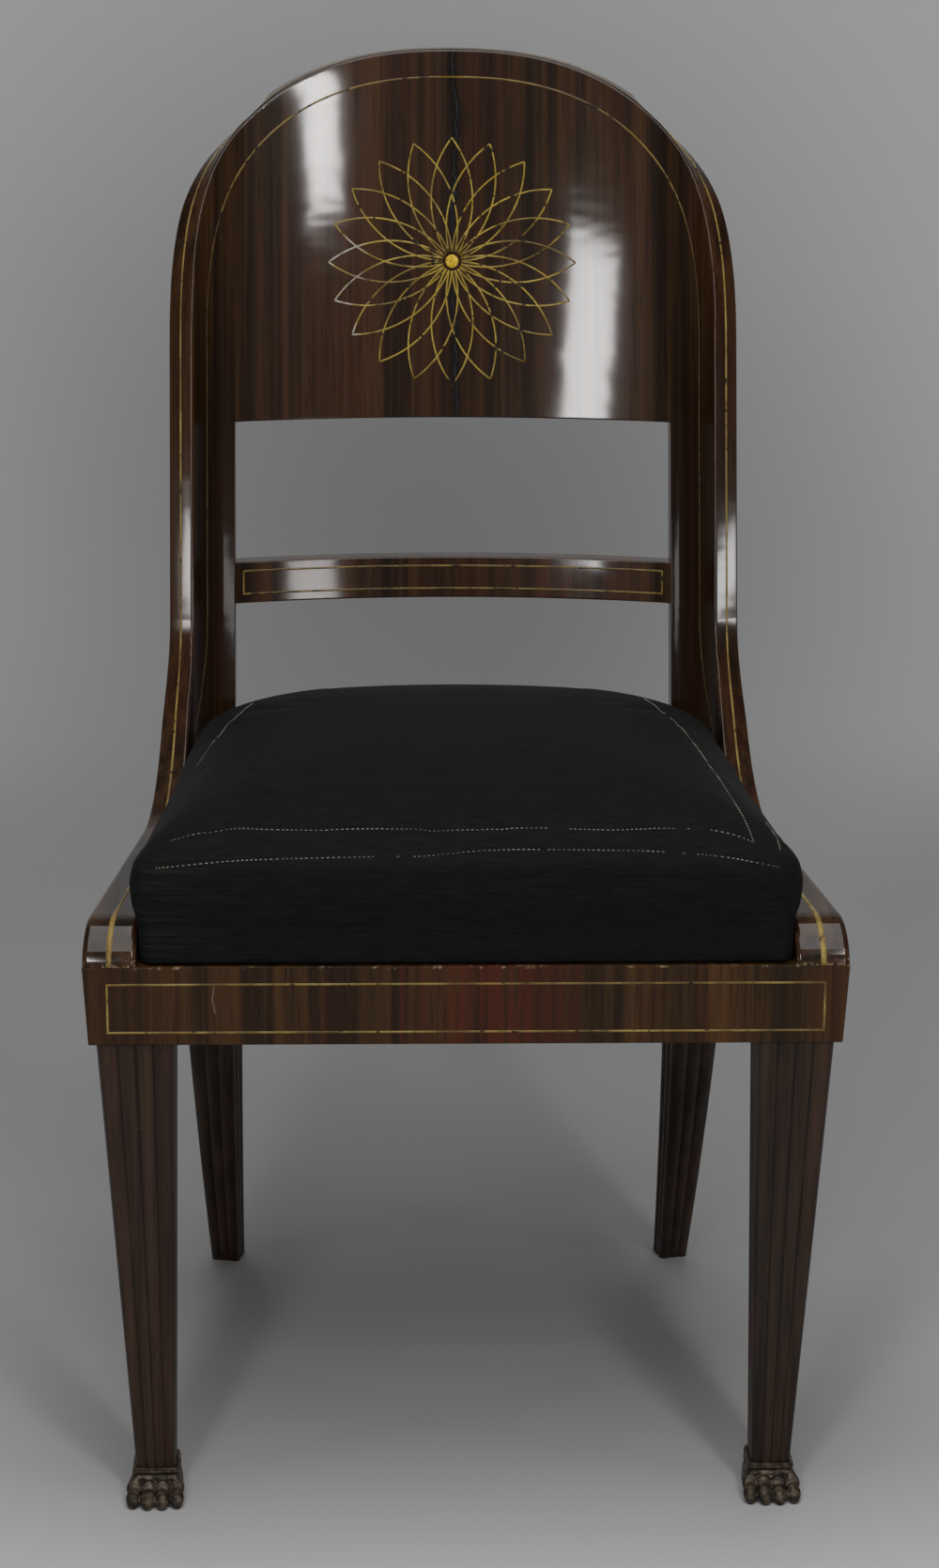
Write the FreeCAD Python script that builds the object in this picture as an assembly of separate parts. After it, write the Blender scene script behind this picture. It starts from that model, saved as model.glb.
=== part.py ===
import FreeCAD, Part
import math
import os

V = FreeCAD.Vector

# Overall sizes, mm. The chair faces -Y, +Z is up, the floor is z = 0.
height = 914.0
rail_bottom = 320.0
rail_top = 372.0
side_rise = 25.0
front_half = 243.7
side_front_t = 34.0
back_t = 20.0
seat_depth = 361.0
rake = 0.275
paw_reach = 12.0

# Plan of the back: a shallow arc, a tight corner arc, then straight sides.
back_radius = 600.0
back_angle = math.radians(14.4)
corner_radius = 55.0

# Swept edge of the back, drawn on the unrolled inner face.
edge_half = 206.0
arch_rise = 205.0
arch_power = 2.4
sweep_run = 85.0
sweep_rise = 122.0
arch_steps = 12
sweep_steps = 6
front_steps = 4

# Where the shell is divided into its joined pieces.
opening_half = 158.8
crest_h = 262.0
shoulder_drop = 114.0
upper_gap = 99.0
mid_rail_h = 29.0
mid_rail_skin = 2.0
back_rail_rise = 26.0
scarf_set = 153.0
scarf_lean = 30.0

# Seat frame.
front_rail_t = 30.0
rail_end_taper = 3.1
front_block_leg = 52.0
front_block_toe = 12.0
front_block_h = 38.0
rear_block_in = 112.0
rear_block_leg = 58.0
rear_block_side = 107.0
ledger_w = 12.0
ledger_h = 20.0
block_past = 6.0

# Front legs, square and reeded, with a tenon above and a spigot in the foot.
leg_side_set = 32.4
leg_splay = 7.5
leg_top_w = 50.0
leg_foot_w = 26.0
leg_set_top = 2.0
leg_set_foot = 8.0
leg_reeds = 4
leg_end = 22.0
tenon_d = 16.0
tenon_l = 26.0
tenon_root = 2.0
spigot_w = 17.0
spigot_l = 15.0

# Sabre rear legs.
rear_leg_out = 42.46
rear_leg_back = 35.7
rear_splay = 6.0
rear_foot_back = 90.0
rear_top_w = 42.0
rear_foot_w = 22.0
rear_turn = 13.0
rear_curve = 1.7
rear_steps = 5
rear_reeds = 3
rear_tenon_d = 11.0
rear_tenon_l = 22.0
rear_tenon_root = 3.0
rear_tenon_angle = math.radians(42.0)
reed_ratio = 0.16
reed_flats = 4

# Paw feet.
paw_w = 37.0
paw_heel = 17.0
paw_collar = 30.0
paw_bead = 32.0
collar_bottom = 15.5
toe_gap = 0.4
toe_count = 4
toe_sides = 8
mid_toe_back = 0.2
end_toe_back = 2.0
paw_round = 6.0
toe_l = 27.0

# Hidden dowels and the tongue of the crest joint.
dowel_d = 8.0
dowel_l = 36.0
thin_dowel_d = 6.0
thin_dowel_l = 30.0
dowel_sides = 8
dowel_spare = 1.0
crest_dowel_set = 40.0
rail_dowel_set = 20.0
end_dowel_set = 15.0
end_dowel_w = 0.75
shoulder_dowel_in = 28.8
tongue_w = 16.0
tongue_t = 3.0
tongue_foot = 20.0
tongue_head = 45.0

# Stringing let into the wood, and the disc in the middle of the star.
string_w = 1.5
string_d = 1.0
face_string_inset = 20.0
face_string_foot = 33.0
rail_border_side = 15.7
rail_border_foot = 8.5
rail_border_head = 11.5
mid_border_inset = 6.5
star_drop = 151.0
star_disc_r = 4.8

# Drop-in seat.
slip_bar_w = 45.0
slip_bar_h = 20.0
slip_corner = 9.0
slip_dowel_in = 10.0
slip_dowel_step = 12.0
seat_front_set = 2.5
seat_swell = 9.5
seat_front_push = 2.5
seat_bow = 3.0
seat_corner = 26.0
seat_corner_step = 4.0
seat_edge_rise = 49.0
crown_rise = 30.0
seat_back_rise = 10.0
seat_crown_at = 0.58
seat_back_follow = 0.9
edge_roll = 12.0
cover_t = 1.6
cover_return = 18.0
return_in = 0.4
webbing_w = 50.0
webbing_t = 1.2
webbing_step = 92.0
webbing_end = 8.0
hessian_t = 0.8
hessian_edge = 3.0

# Clearances.
dowel_gap = 0.15
inlay_gap = 0.1
soft_gap = 0.3
seat_side_gap = 0.9
bar_gap = 0.6

# How far a cutting solid runs past what it cuts, mm and shares of the wall's thickness or side.
cut_past = 1.0
skin_past = 0.1
side_past = 0.08
wall_spare = 120.0
edge_cut_in = -1.2
edge_cut_out = 8.0
block_cut_out = 4.0
cover_open = 5.0

# Keeps the three points of an arc off one straight line.
least_bow = 0.02

side_top = rail_top + side_rise
crest_bottom = height - crest_h
shoulder_z = height - shoulder_drop
mid_rail_top = crest_bottom - upper_gap
mid_rail_bottom = mid_rail_top - mid_rail_h
back_rail_top = rail_top + back_rail_rise
star_z = height - star_drop
face_string_end = side_top + face_string_foot
seat_edge = side_top + seat_edge_rise
seat_crown = seat_edge + crown_rise
leg_top_x = front_half - leg_side_set
leg_foot_x = leg_top_x - leg_splay
lean_angle = math.atan(rake)
lean_c = math.cos(lean_angle)
lean_s = math.sin(lean_angle)
overall_depth = paw_reach + seat_depth + rake * (height - rail_top) + back_t / lean_c
front_y = -overall_depth / 2.0 + paw_reach
back_y = front_y + seat_depth

os.makedirs("parts", exist_ok=True)


def save(name, shape):
    shape.exportStep("parts/" + name + ".step")


def both(shape):
    return shape.mirror(V(0, 0, 0), V(1, 0, 0))


def save_pair(name, right):
    save(name + "_right", right)
    save(name + "_left", both(right))


def box(x0, x1, y0, y1, z0, z1):
    return Part.makeBox(x1 - x0, y1 - y0, z1 - z0, V(x0, y0, z0))


def solid_of(shape):
    solids = shape.Solids
    return solids[0] if len(solids) == 1 else Part.makeCompound(solids)


def polygon(points):
    return Part.Face(Part.makePolygon(points + [points[0]]))


def facet_loft(rings):
    """Solid through closed rings of points, with flat faces from ring to ring."""
    faces = [polygon(rings[0]), polygon(rings[-1])]
    for low, high in zip(rings, rings[1:]):
        n = len(low)
        for i in range(n):
            a = low[i]
            b = low[(i + 1) % n]
            c = high[(i + 1) % n]
            d = high[i]
            normal = (b - a).cross(d - a)
            if abs(normal.dot(c - a)) < 1e-7 * normal.Length:
                faces.append(polygon([a, b, c, d]))
            else:
                faces.append(polygon([a, b, c]))
                faces.append(polygon([a, c, d]))
    solid = Part.Solid(Part.Shell(faces))
    if solid.Volume < 0:
        solid.reverse()
    return solid


# Plan curve of the wall, drawn square to the leaning back. q runs 0 to 1 on the back arc, 1 to 2 on the
# corner and 2 to 3 on the side. w is 0 on the inner face and 1 on the outer face.
c1 = (0.0, back_y * lean_c - back_radius)
c2 = (c1[0] + (back_radius - corner_radius) * math.sin(back_angle),
      c1[1] + (back_radius - corner_radius) * math.cos(back_angle))
front_in = (front_half - side_front_t, front_y * lean_c)
front_out = (front_half, front_y * lean_c)


def tangent_angle(p, r):
    dx = p[0] - c2[0]
    dy = p[1] - c2[1]
    return math.atan2(dx, dy) - math.acos(r / math.hypot(dx, dy))


turn_in = tangent_angle(front_in, corner_radius)
turn_out = tangent_angle(front_out, corner_radius + back_t)


def square_plan(q, w):
    if q <= 1.0:
        a = q * back_angle
        r = back_radius + w * back_t
        return (c1[0] + r * math.sin(a), c1[1] + r * math.cos(a))
    end = turn_in + w * (turn_out - turn_in)
    r = corner_radius + w * back_t
    if q <= 2.0:
        a = back_angle + (q - 1.0) * (end - back_angle)
        return (c2[0] + r * math.sin(a), c2[1] + r * math.cos(a))
    s = q - 2.0
    x0 = c2[0] + r * math.sin(end)
    y0 = c2[1] + r * math.cos(end)
    x1 = front_in[0] + w * (front_out[0] - front_in[0])
    return (x0 + s * (x1 - x0), y0 + s * (front_in[1] - y0))


def plan(q, w):
    """The same point seen from above, at the height of the rail's top."""
    x, y = square_plan(q, w)
    return (x, y / lean_c)


run_back = back_radius * back_angle
run_corner = corner_radius * (turn_in - back_angle)
corner_end = square_plan(2.0, 0.0)
run_side = math.hypot(front_in[0] - corner_end[0], front_in[1] - corner_end[1])
run_all = run_back + run_corner + run_side


def q_at(u):
    if u <= run_back:
        return u / run_back
    if u <= run_back + run_corner:
        return 1.0 + (u - run_back) / run_corner
    return 2.0 + (u - run_back - run_corner) / run_side


def shell_point(u, z, w):
    x, y = plan(q_at(u), w)
    return V(x, y + rake * (z - rail_top), z)


far = 2.0 * height
lean_dir = V(0, lean_s, lean_c)


def wall(w0, w1, z0, z1):
    """Half of the leaning wall (x >= 0) between two depths of its thickness and two heights."""
    t0 = (z0 - rail_top) / lean_c - wall_spare
    t1 = (z1 - rail_top) / lean_c + wall_spare
    q_end = 3.0 + side_past

    def p(q, w):
        x, y = square_plan(q, w)
        return V(x, y * lean_c, rail_top - y * lean_s) + lean_dir * t0

    edges = [Part.Arc(p(0, w0), p(0.5, w0), p(1, w0)).toShape(),
             Part.Arc(p(1, w0), p(1.5, w0), p(2, w0)).toShape(),
             Part.makeLine(p(2, w0), p(q_end, w0)),
             Part.makeLine(p(q_end, w0), p(q_end, w1)),
             Part.makeLine(p(q_end, w1), p(2, w1)),
             Part.Arc(p(2, w1), p(1.5, w1), p(1, w1)).toShape(),
             Part.Arc(p(1, w1), p(0.5, w1), p(0, w1)).toShape(),
             Part.makeLine(p(0, w1), p(0, w0))]
    face = Part.Face(Part.Wire(edges))
    return face.extrude(lean_dir * (t1 - t0)).common(box(-far, far, -far, far, z0, z1))


def edge_outline(inset):
    """Points of the swept edge on the unrolled face, crest centre first, moved in by inset."""
    raw = []
    arch_z = height - arch_rise
    m = 2.0 / arch_power
    for i in range(-1, arch_steps + 1):
        a = math.radians(90.0 * i / arch_steps)
        s = math.sin(abs(a))
        c = max(math.cos(a), 0.0)
        u = edge_half * s ** m * (1 if i >= 0 else -1)
        raw.append((u, arch_z + arch_rise * c ** m))
    sweep_z = rail_top + side_rise + sweep_rise
    for i in range(1, 3):
        raw.append((edge_half, arch_z + (sweep_z - arch_z) * i / 3.0))
    for i in range(sweep_steps + 1):
        a = math.radians(90.0 * i / sweep_steps)
        raw.append((edge_half + sweep_run * (1 - math.cos(a)), sweep_z - sweep_rise * math.sin(a)))
    flat_end = run_all - side_rise
    flat_start = edge_half + sweep_run
    for i in range(1, 3):
        raw.append((flat_start + (flat_end - flat_start) * i / 3.0, rail_top + side_rise))
    for i in range(front_steps + 1):
        a = math.radians(90.0 * i / front_steps)
        raw.append((flat_end + side_rise * math.sin(a), rail_top + side_rise * math.cos(a)))
    for i in range(1, 3):
        raw.append((run_all, rail_top - (rail_top - rail_bottom) * 1.5 * i))
    out = []
    for i, (u, z) in enumerate(raw):
        a = raw[max(i - 1, 0)]
        b = raw[min(i + 1, len(raw) - 1)]
        du = b[0] - a[0]
        dz = b[1] - a[1]
        n = math.hypot(du, dz)
        out.append((u + inset * dz / n, z - inset * du / n))
    return out


def through_wall(u, z, w):
    """Point on the straight line from the inner face, w = 0, through the outer face, w = 1."""
    a = shell_point(u, z, 0.0)
    return a + (shell_point(u, z, 1.0) - a) * w


def beyond_edge(inset):
    """Everything in front of and above the swept edge, as one cutting solid."""
    pts = edge_outline(inset)
    par = [0.0]
    for a, b in zip(pts, pts[1:]):
        par.append(par[-1] + math.hypot(b[0] - a[0], b[1] - a[1]))
    curves = []
    for w in (edge_cut_in, edge_cut_out):
        c = Part.BSplineCurve()
        c.interpolate(Points=[through_wall(u, z, w) for u, z in pts], Parameters=par)
        curves.append(c.toShape())
    face = Part.makeRuledSurface(curves[0], curves[1])
    return solid_of(face.extrude(V(0, -height, height)))


outside = beyond_edge(0.0)
wall_top = height + back_t
shell = wall(0.0, 1.0, rail_bottom, wall_top).cut(outside)


def dowel(centre, direction, d, length):
    """Hidden dowels are prisms with a few flats."""
    n = V(direction)
    n.normalize()
    side = n.cross(V(0, 0, 1)) if abs(n.z) < 0.7 else n.cross(V(1, 0, 0))
    side.normalize()
    up = n.cross(side)
    start = centre - n * (length / 2.0)
    ring = []
    for i in range(dowel_sides):
        a = 2.0 * math.pi * i / dowel_sides
        ring.append(start + side * (d / 2.0 * math.cos(a)) + up * (d / 2.0 * math.sin(a)))
    return polygon(ring).extrude(n * length)


def dowel_hole(centre, direction, d, length):
    return dowel(centre, direction, d + 2 * dowel_gap, length + 2 * dowel_spare)


# Lines of the straight side, seen from above at the height z.
def side_x(y, z, w):
    x0, y0 = plan(2.0, w)
    x1, y1 = plan(3.0, w)
    s = (y - rake * (z - rail_top) - y0) / (y1 - y0)
    return x0 + s * (x1 - x0)


# Division of the shell: crest, stile, back rail and side rail.
scarf_y = back_y - scarf_set
lean = scarf_lean / (side_top - rail_bottom)


def scarf_at(z):
    return scarf_y + (side_top - z) * lean


behind_scarf = polygon([V(0, scarf_at(0), 0), V(0, far, 0), V(0, far, far), V(0, scarf_at(side_top), far),
                        V(0, scarf_at(side_top), side_top)]).extrude(V(far, 0, 0))
rear_half = shell.common(behind_scarf)
side_rail = shell.cut(behind_scarf).cut(box(-far, far, -far, front_y + front_rail_t, 0, rail_top))
crest_zone = box(0, opening_half, -far, far, crest_bottom, far)
crest_zone = crest_zone.fuse(box(opening_half - cut_past, far, -far, far, shoulder_z, far))
crest = rear_half.common(crest_zone)
stile = rear_half.common(box(opening_half, far, -far, far, 0, shoulder_z))
back_half = rear_half.common(box(0, opening_half, -far, far, 0, back_rail_top))
back_rail = back_half.fuse(both(back_half)).removeSplitter()
mid_w = mid_rail_skin / back_t
mid_half = wall(mid_w, 1.0 - mid_w, mid_rail_bottom, mid_rail_top)
mid_half = mid_half.common(box(0, opening_half, -far, far, 0, far))
mid_rail = mid_half.fuse(both(mid_half)).removeSplitter()

# Dowels across the joints of the back.
mid_radius = corner_radius + back_t / 2.0
joint_a = math.asin((opening_half - c2[0]) / mid_radius)
joint_dir = V(math.cos(joint_a), -math.sin(joint_a) / lean_c, 0)


def joint_point(z):
    return V(opening_half, (c2[1] + mid_radius * math.cos(joint_a)) / lean_c + rake * (z - rail_top), z)


back_dowels = []
for z in (crest_bottom + crest_dowel_set, shoulder_z - crest_dowel_set):
    back_dowels.append(dowel(joint_point(z), joint_dir, dowel_d, dowel_l))
    hole = dowel_hole(joint_point(z), joint_dir, dowel_d, dowel_l)
    crest = crest.cut(hole)
    stile = stile.cut(hole)
top_joint = shell_point(edge_half - shoulder_dowel_in, shoulder_z, 0.5)
rake_dir = V(0, rake, 1)
back_dowels.append(dowel(top_joint, rake_dir, thin_dowel_d, thin_dowel_l))
hole = dowel_hole(top_joint, rake_dir, thin_dowel_d, thin_dowel_l)
crest = crest.cut(hole)
stile = stile.cut(hole)
z = (mid_rail_bottom + mid_rail_top) / 2.0
back_dowels.append(dowel(joint_point(z), joint_dir, thin_dowel_d, thin_dowel_l))
hole = dowel_hole(joint_point(z), joint_dir, thin_dowel_d, thin_dowel_l)
mid_rail = mid_rail.cut(hole).cut(both(hole))
stile = stile.cut(hole)
seat_dowels = []
for z in (rail_bottom + rail_dowel_set, back_rail_top - rail_dowel_set):
    seat_dowels.append(dowel(joint_point(z), joint_dir, dowel_d, dowel_l))
    hole = dowel_hole(joint_point(z), joint_dir, dowel_d, dowel_l)
    back_rail = back_rail.cut(hole).cut(both(hole))
    stile = stile.cut(hole)

# Dowels in the scarf of the side rail, and from the front rail into the side rail.
side_dir = V(front_in[0] - corner_end[0], (front_in[1] - corner_end[1]) / lean_c, 0)
for z in (rail_bottom + rail_dowel_set, side_top - rail_dowel_set):
    y = scarf_at(z)
    at = V(side_x(y, z, 0.5), y, z)
    seat_dowels.append(dowel(at, side_dir, dowel_d, dowel_l))
    hole = dowel_hole(at, side_dir, dowel_d, dowel_l)
    side_rail = side_rail.cut(hole)
    stile = stile.cut(hole)

# Front rail: straight, with ends tapering down.
rail_back = front_y + front_rail_t


def rail_section(z, half):
    drop = half - (front_half - side_x(rail_back, rail_top, 1.0))
    return Part.makePolygon([V(-half, front_y, z), V(half, front_y, z), V(drop, rail_back, z),
                             V(-drop, rail_back, z), V(-half, front_y, z)])


front_rail = Part.makeLoft([rail_section(rail_bottom, front_half - rail_end_taper),
                            rail_section(rail_top, front_half)], True, True)
for z in (rail_bottom + end_dowel_set, rail_top - end_dowel_set):
    at = V(side_x(rail_back, z, end_dowel_w), rail_back, z)
    seat_dowels.append(dowel(at, V(0, 1, 0), dowel_d, dowel_l))
    hole = dowel_hole(at, V(0, 1, 0), dowel_d, dowel_l)
    side_rail = side_rail.cut(hole)
    front_rail = front_rail.cut(hole).cut(both(hole))


# Reeded legs: each side of the section is a row of convex arcs.
def reeded(cx, cy, z, wx, wy, reeds, turn=0.0):
    ca = math.cos(math.radians(turn))
    sa = math.sin(math.radians(turn))
    bulge = reed_ratio * min(wx, wy) / reeds
    hx = wx / 2.0 - bulge
    hy = wy / 2.0 - bulge
    corners = [(-hx, -hy), (hx, -hy), (hx, hy), (-hx, hy)]
    normals = [(0, -1), (1, 0), (0, 1), (-1, 0)]

    def place(x, y):
        return V(cx + x * ca - y * sa, cy + x * sa + y * ca, z)

    ring = []
    for i in range(4):
        ax, ay = corners[i]
        bx, by = corners[(i + 1) % 4]
        nx, ny = normals[i]
        for k in range(reeds):
            x0 = ax + (bx - ax) * k / reeds
            y0 = ay + (by - ay) * k / reeds
            x1 = ax + (bx - ax) * (k + 1) / reeds
            y1 = ay + (by - ay) * (k + 1) / reeds
            for j in range(reed_flats):
                t = j / float(reed_flats)
                h = 4.0 * bulge * t * (1.0 - t)
                ring.append(place(x0 + (x1 - x0) * t + nx * h, y0 + (y1 - y0) * t + ny * h))
    return ring


leg_top_y = front_y + leg_set_top + leg_top_w / 2.0
leg_foot_y = front_y + leg_set_foot + leg_foot_w / 2.0
front_leg = facet_loft([reeded(leg_foot_x, leg_foot_y, leg_end, leg_foot_w, leg_foot_w, leg_reeds),
                        reeded(leg_top_x, leg_top_y, rail_bottom, leg_top_w, leg_top_w, leg_reeds)])
tenon_mid = V(leg_top_x, front_y + front_rail_t / 2.0, rail_bottom + tenon_l / 2.0)
up = V(0, 0, 1)
tenon = dowel(tenon_mid - up * (tenon_root / 2.0), up, tenon_d, tenon_l + tenon_root)
front_leg = front_leg.fuse(tenon)
spigot_h = spigot_w / 2.0
front_leg = front_leg.fuse(box(leg_foot_x - spigot_h, leg_foot_x + spigot_h,
                               leg_foot_y - spigot_h, leg_foot_y + spigot_h,
                               leg_end - spigot_l, leg_end + tenon_root))
hole = dowel_hole(tenon_mid, up, tenon_d, tenon_l)
front_rail = front_rail.cut(hole).cut(both(hole))

# Sabre rear legs: sections that step back towards the foot.
sections = []
for i in range(rear_steps + 1):
    s = i / float(rear_steps)
    w = rear_top_w + (rear_foot_w - rear_top_w) * s
    x = c2[0] + rear_leg_out - rear_splay * s
    y = c2[1] / lean_c + rear_leg_back + rear_foot_back * s ** rear_curve
    sections.append(reeded(x, y, rail_bottom * (1.0 - s), w, w, rear_reeds, rear_turn))
rear_leg = facet_loft(sections)
rear_tenon_y = (c2[1] + mid_radius * math.cos(rear_tenon_angle)) / lean_c + rake * (rail_bottom - rail_top)
rear_tenon_at = V(c2[0] + mid_radius * math.sin(rear_tenon_angle), rear_tenon_y, rail_bottom)
above_leg = box(0, far, -far, far, rail_bottom - rear_tenon_root, far)
rear_tenon_mid = rear_tenon_at + rake_dir * (rear_tenon_l / 2.0 - rear_tenon_root)
rear_tenon = (rear_tenon_mid, rake_dir, rear_tenon_d, rear_tenon_l + 2 * rear_tenon_root)
rear_leg = rear_leg.fuse(dowel(*rear_tenon).common(above_leg))
stile = stile.cut(dowel_hole(*rear_tenon).common(above_leg))

# Corner blocks and side ledgers that carry the drop-in seat.
bx0 = side_x(rail_back, rail_top, 0.0)
block_end = rail_back + front_block_leg
block_z = rail_top - front_block_h
front_block = polygon([V(bx0 + block_past, rail_back, block_z), V(bx0 - front_block_leg, rail_back, block_z),
                       V(bx0 - front_block_toe, block_end, block_z), V(bx0 + block_past, block_end, block_z)])
front_block = front_block.extrude(V(0, 0, front_block_h)).cut(side_rail)
rear_end = back_y - rear_block_side
rear_x = side_x(rear_end, rail_top, 0.0)
rear_block = polygon([V(rear_block_in, back_y, rail_bottom),
                      V(rear_block_in, back_y - rear_block_leg, rail_bottom),
                      V(rear_x - ledger_w, rear_end, rail_bottom),
                      V(rear_x + block_past, rear_end, rail_bottom),
                      V(rear_x + block_past, back_y, rail_bottom)]).extrude(V(0, 0, rail_top - rail_bottom))
rear_block = solid_of(rear_block.cut(wall(0.0, block_cut_out, rail_bottom - cut_past, rail_top + cut_past)))
block_x = side_x(block_end, rail_top, 0.0)
ledger_z = rail_top - ledger_h
ledger = polygon([V(block_x + block_past, block_end, ledger_z), V(block_x - ledger_w, block_end, ledger_z),
                  V(rear_x - ledger_w, rear_end, ledger_z), V(rear_x + block_past, rear_end, ledger_z)])
ledger = ledger.extrude(V(0, 0, ledger_h)).cut(wall(0.0, 1.0, rail_bottom - cut_past, side_top + cut_past))

# Lion-paw feet, cast to slip over the leg ends.
paw_y = leg_foot_y
toe_front = front_y - paw_reach
paw_back = paw_y + paw_heel


def chamfered(cy, z, wx, wy, r):
    """Rectangle around the leg's centre line with its corners taken off in two flats each."""
    hx = wx / 2.0
    hy = wy / 2.0
    k = r * (1.0 - math.sqrt(0.5))
    corner = [(hx - r, hy), (hx - k, hy - k), (hx, hy - r)]
    ring = [(x, -y) for x, y in corner]
    ring += [(x, y) for x, y in reversed(corner)]
    ring += [(-x, y) for x, y in corner]
    ring += [(-x, -y) for x, y in reversed(corner)]
    return [V(leg_foot_x + x, cy + y, z) for x, y in ring]


def paw_ring(z, w, front, r):
    return chamfered((front + paw_back) / 2.0, z, w, paw_back - front, r)


collar_h = leg_end - collar_bottom
paw = facet_loft([paw_ring(0.0, paw_w * 0.92, toe_front + toe_l * 0.33, paw_round),
                  paw_ring(collar_bottom * 0.36, paw_w * 0.92, toe_front + toe_l * 0.37, paw_round),
                  paw_ring(collar_bottom * 0.72, paw_w * 0.86, toe_front + toe_l * 0.56, paw_round),
                  chamfered(paw_y, collar_bottom, paw_collar, paw_collar, paw_round / 2.0),
                  chamfered(paw_y, collar_bottom + collar_h / 2.0, paw_bead, paw_bead, paw_round / 2.0),
                  chamfered(paw_y, leg_end, paw_collar, paw_collar, paw_round / 2.0)])

# Each toe runs through rings along its knuckle, down to the claw.
toe_flat = math.cos(math.pi / toe_sides)
gaps = toe_count - 1.0
toe_r = (paw_w - gaps * toe_gap) / (2.0 + 2.0 * gaps * toe_flat)
toe_step = (paw_w - 2.0 * toe_r) / gaps
# Each row: place along the toe as a share of its length, height and radius in toe radii, tilt.
toe_rows = [(1.0, 2.2, 0.7, 0.1), (0.56, 2.05, 1.0, 0.35), (0.3, 1.6, 1.0, 0.7),
            (0.15, 1.05, 0.88, 0.5), (0.05, 0.75, 0.6, 0.2), (0.0, 0.5, 0.3, 0.2)]


def toe_ring(x, y, z, r, tilt):
    ring = []
    for i in range(toe_sides):
        a = 2.0 * math.pi * (i + 0.5) / toe_sides
        rise = r * math.sin(a)
        ring.append(V(x + r * math.cos(a), y + rise * math.sin(tilt), z + rise * math.cos(tilt)))
    return ring


for i in range(toe_count):
    x = leg_foot_x - paw_w / 2.0 + toe_r + i * toe_step
    y = toe_front + (end_toe_back if i in (0, toe_count - 1) else mid_toe_back)
    rings = [toe_ring(x, y + toe_l * a, toe_r * b, toe_r * c, tilt) for a, b, c, tilt in toe_rows]
    paw = paw.fuse(facet_loft(rings))
paw = paw.cut(box(-far, far, -far, far, -far, 0.0))
socket_h = spigot_h + dowel_gap
paw = paw.cut(box(leg_foot_x - socket_h, leg_foot_x + socket_h,
                  leg_foot_y - socket_h, leg_foot_y + socket_h,
                  leg_end - spigot_l - dowel_gap, far))

# Loose tongue in the crest's centre joint.
tongue_z0 = crest_bottom + tongue_foot
tongue_h = height - tongue_head - tongue_z0


def tongue_box(grow):
    z0 = tongue_z0 - grow
    y = back_y + back_t / 2.0 / lean_c + rake * (z0 - rail_top)
    a = tongue_w / 2.0 + grow
    b = tongue_t / 2.0 + grow
    f = polygon([V(-a, y - b, z0), V(a, y - b, z0), V(a, y + b, z0), V(-a, y + b, z0)])
    return f.extrude(rake_dir * (tongue_h + 2 * grow))


crest_tongue = tongue_box(0.0)
crest = crest.cut(tongue_box(dowel_gap))

# Stringing let into the swept edge, at the middle of its thickness.
half_w = string_w / 2.0 / back_t
gap_w = inlay_gap / back_t
above_rail = box(0, far, -far, far, rail_top, far)
edge_string = wall(0.5 - half_w, 0.5 + half_w, rail_top, wall_top)
edge_string = edge_string.common(beyond_edge(string_d)).cut(outside).common(above_rail)
edge_groove = wall(0.5 - half_w - gap_w, 0.5 + half_w + gap_w, rail_top - cut_past, wall_top)
edge_groove = edge_groove.common(beyond_edge(string_d + inlay_gap))
edge_groove = edge_groove.common(above_rail)
crest = crest.cut(edge_groove)
stile = stile.cut(edge_groove)
side_rail = side_rail.cut(edge_groove)

# Stringing on the inner face, following the edge down the crest and the stile.
above_seat = box(0, far, -far, far, face_string_end, far)
skin = wall(0.0, string_d / back_t, rail_top, wall_top)
near = face_string_inset - string_w / 2.0
face_string = skin.common(beyond_edge(near + string_w)).cut(beyond_edge(near)).common(above_seat)
deep_skin = wall(-skin_past, (string_d + inlay_gap) / back_t, rail_top, wall_top)
face_groove = deep_skin.common(beyond_edge(near + string_w + inlay_gap))
face_groove = face_groove.cut(beyond_edge(near - inlay_gap))
face_groove = face_groove.common(box(0, far, -far, far, face_string_end - inlay_gap, far))
crest = crest.cut(face_groove)
stile = stile.cut(face_groove)

# Centre disc of the star inlay.
star_at = V(0, -far, star_z)
star_axis = V(0, 1, 0)
star_disc = Part.makeCylinder(star_disc_r, 2 * far, star_at, star_axis)
disc_right = skin.common(star_disc)
star_disc = disc_right.fuse(both(disc_right)).removeSplitter()
disc_hole = Part.makeCylinder(star_disc_r + inlay_gap, 2 * far, star_at, star_axis)
crest = crest.cut(deep_skin.common(disc_hole))


# Border stringing on the front rail and on the mid rail.
def border(half, low, high, y0, y1, grow):
    w = string_w
    g = grow
    outer = box(-half - g, half + g, y0, y1, low - g, high + g)
    return outer.cut(box(-half + w + g, half - w - g, y0 - cut_past, y1 + cut_past,
                         low + w + g, high - w - g))


rail_border = (front_half - rail_border_side, rail_bottom + rail_border_foot, rail_top - rail_border_head)
front_string = border(*rail_border, front_y, front_y + string_d, 0.0)
groove_end = front_y + string_d + inlay_gap
front_rail = front_rail.cut(border(*rail_border, front_y - cut_past, groove_end, inlay_gap))
mid_border = (opening_half - mid_border_inset, mid_rail_bottom + mid_border_inset,
              mid_rail_top - mid_border_inset, -far, far)
mid_skin = wall(mid_w, mid_w + string_d / back_t, mid_rail_bottom, mid_rail_top)
mid_string = mid_skin.common(border(*mid_border, 0.0))
mid_string = mid_string.fuse(both(mid_string)).removeSplitter()
mid_deep = wall(mid_w - skin_past, mid_w + (string_d + inlay_gap) / back_t,
                mid_rail_bottom - cut_past, mid_rail_top + cut_past)
mid_groove = mid_deep.common(border(*mid_border, inlay_gap))
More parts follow.
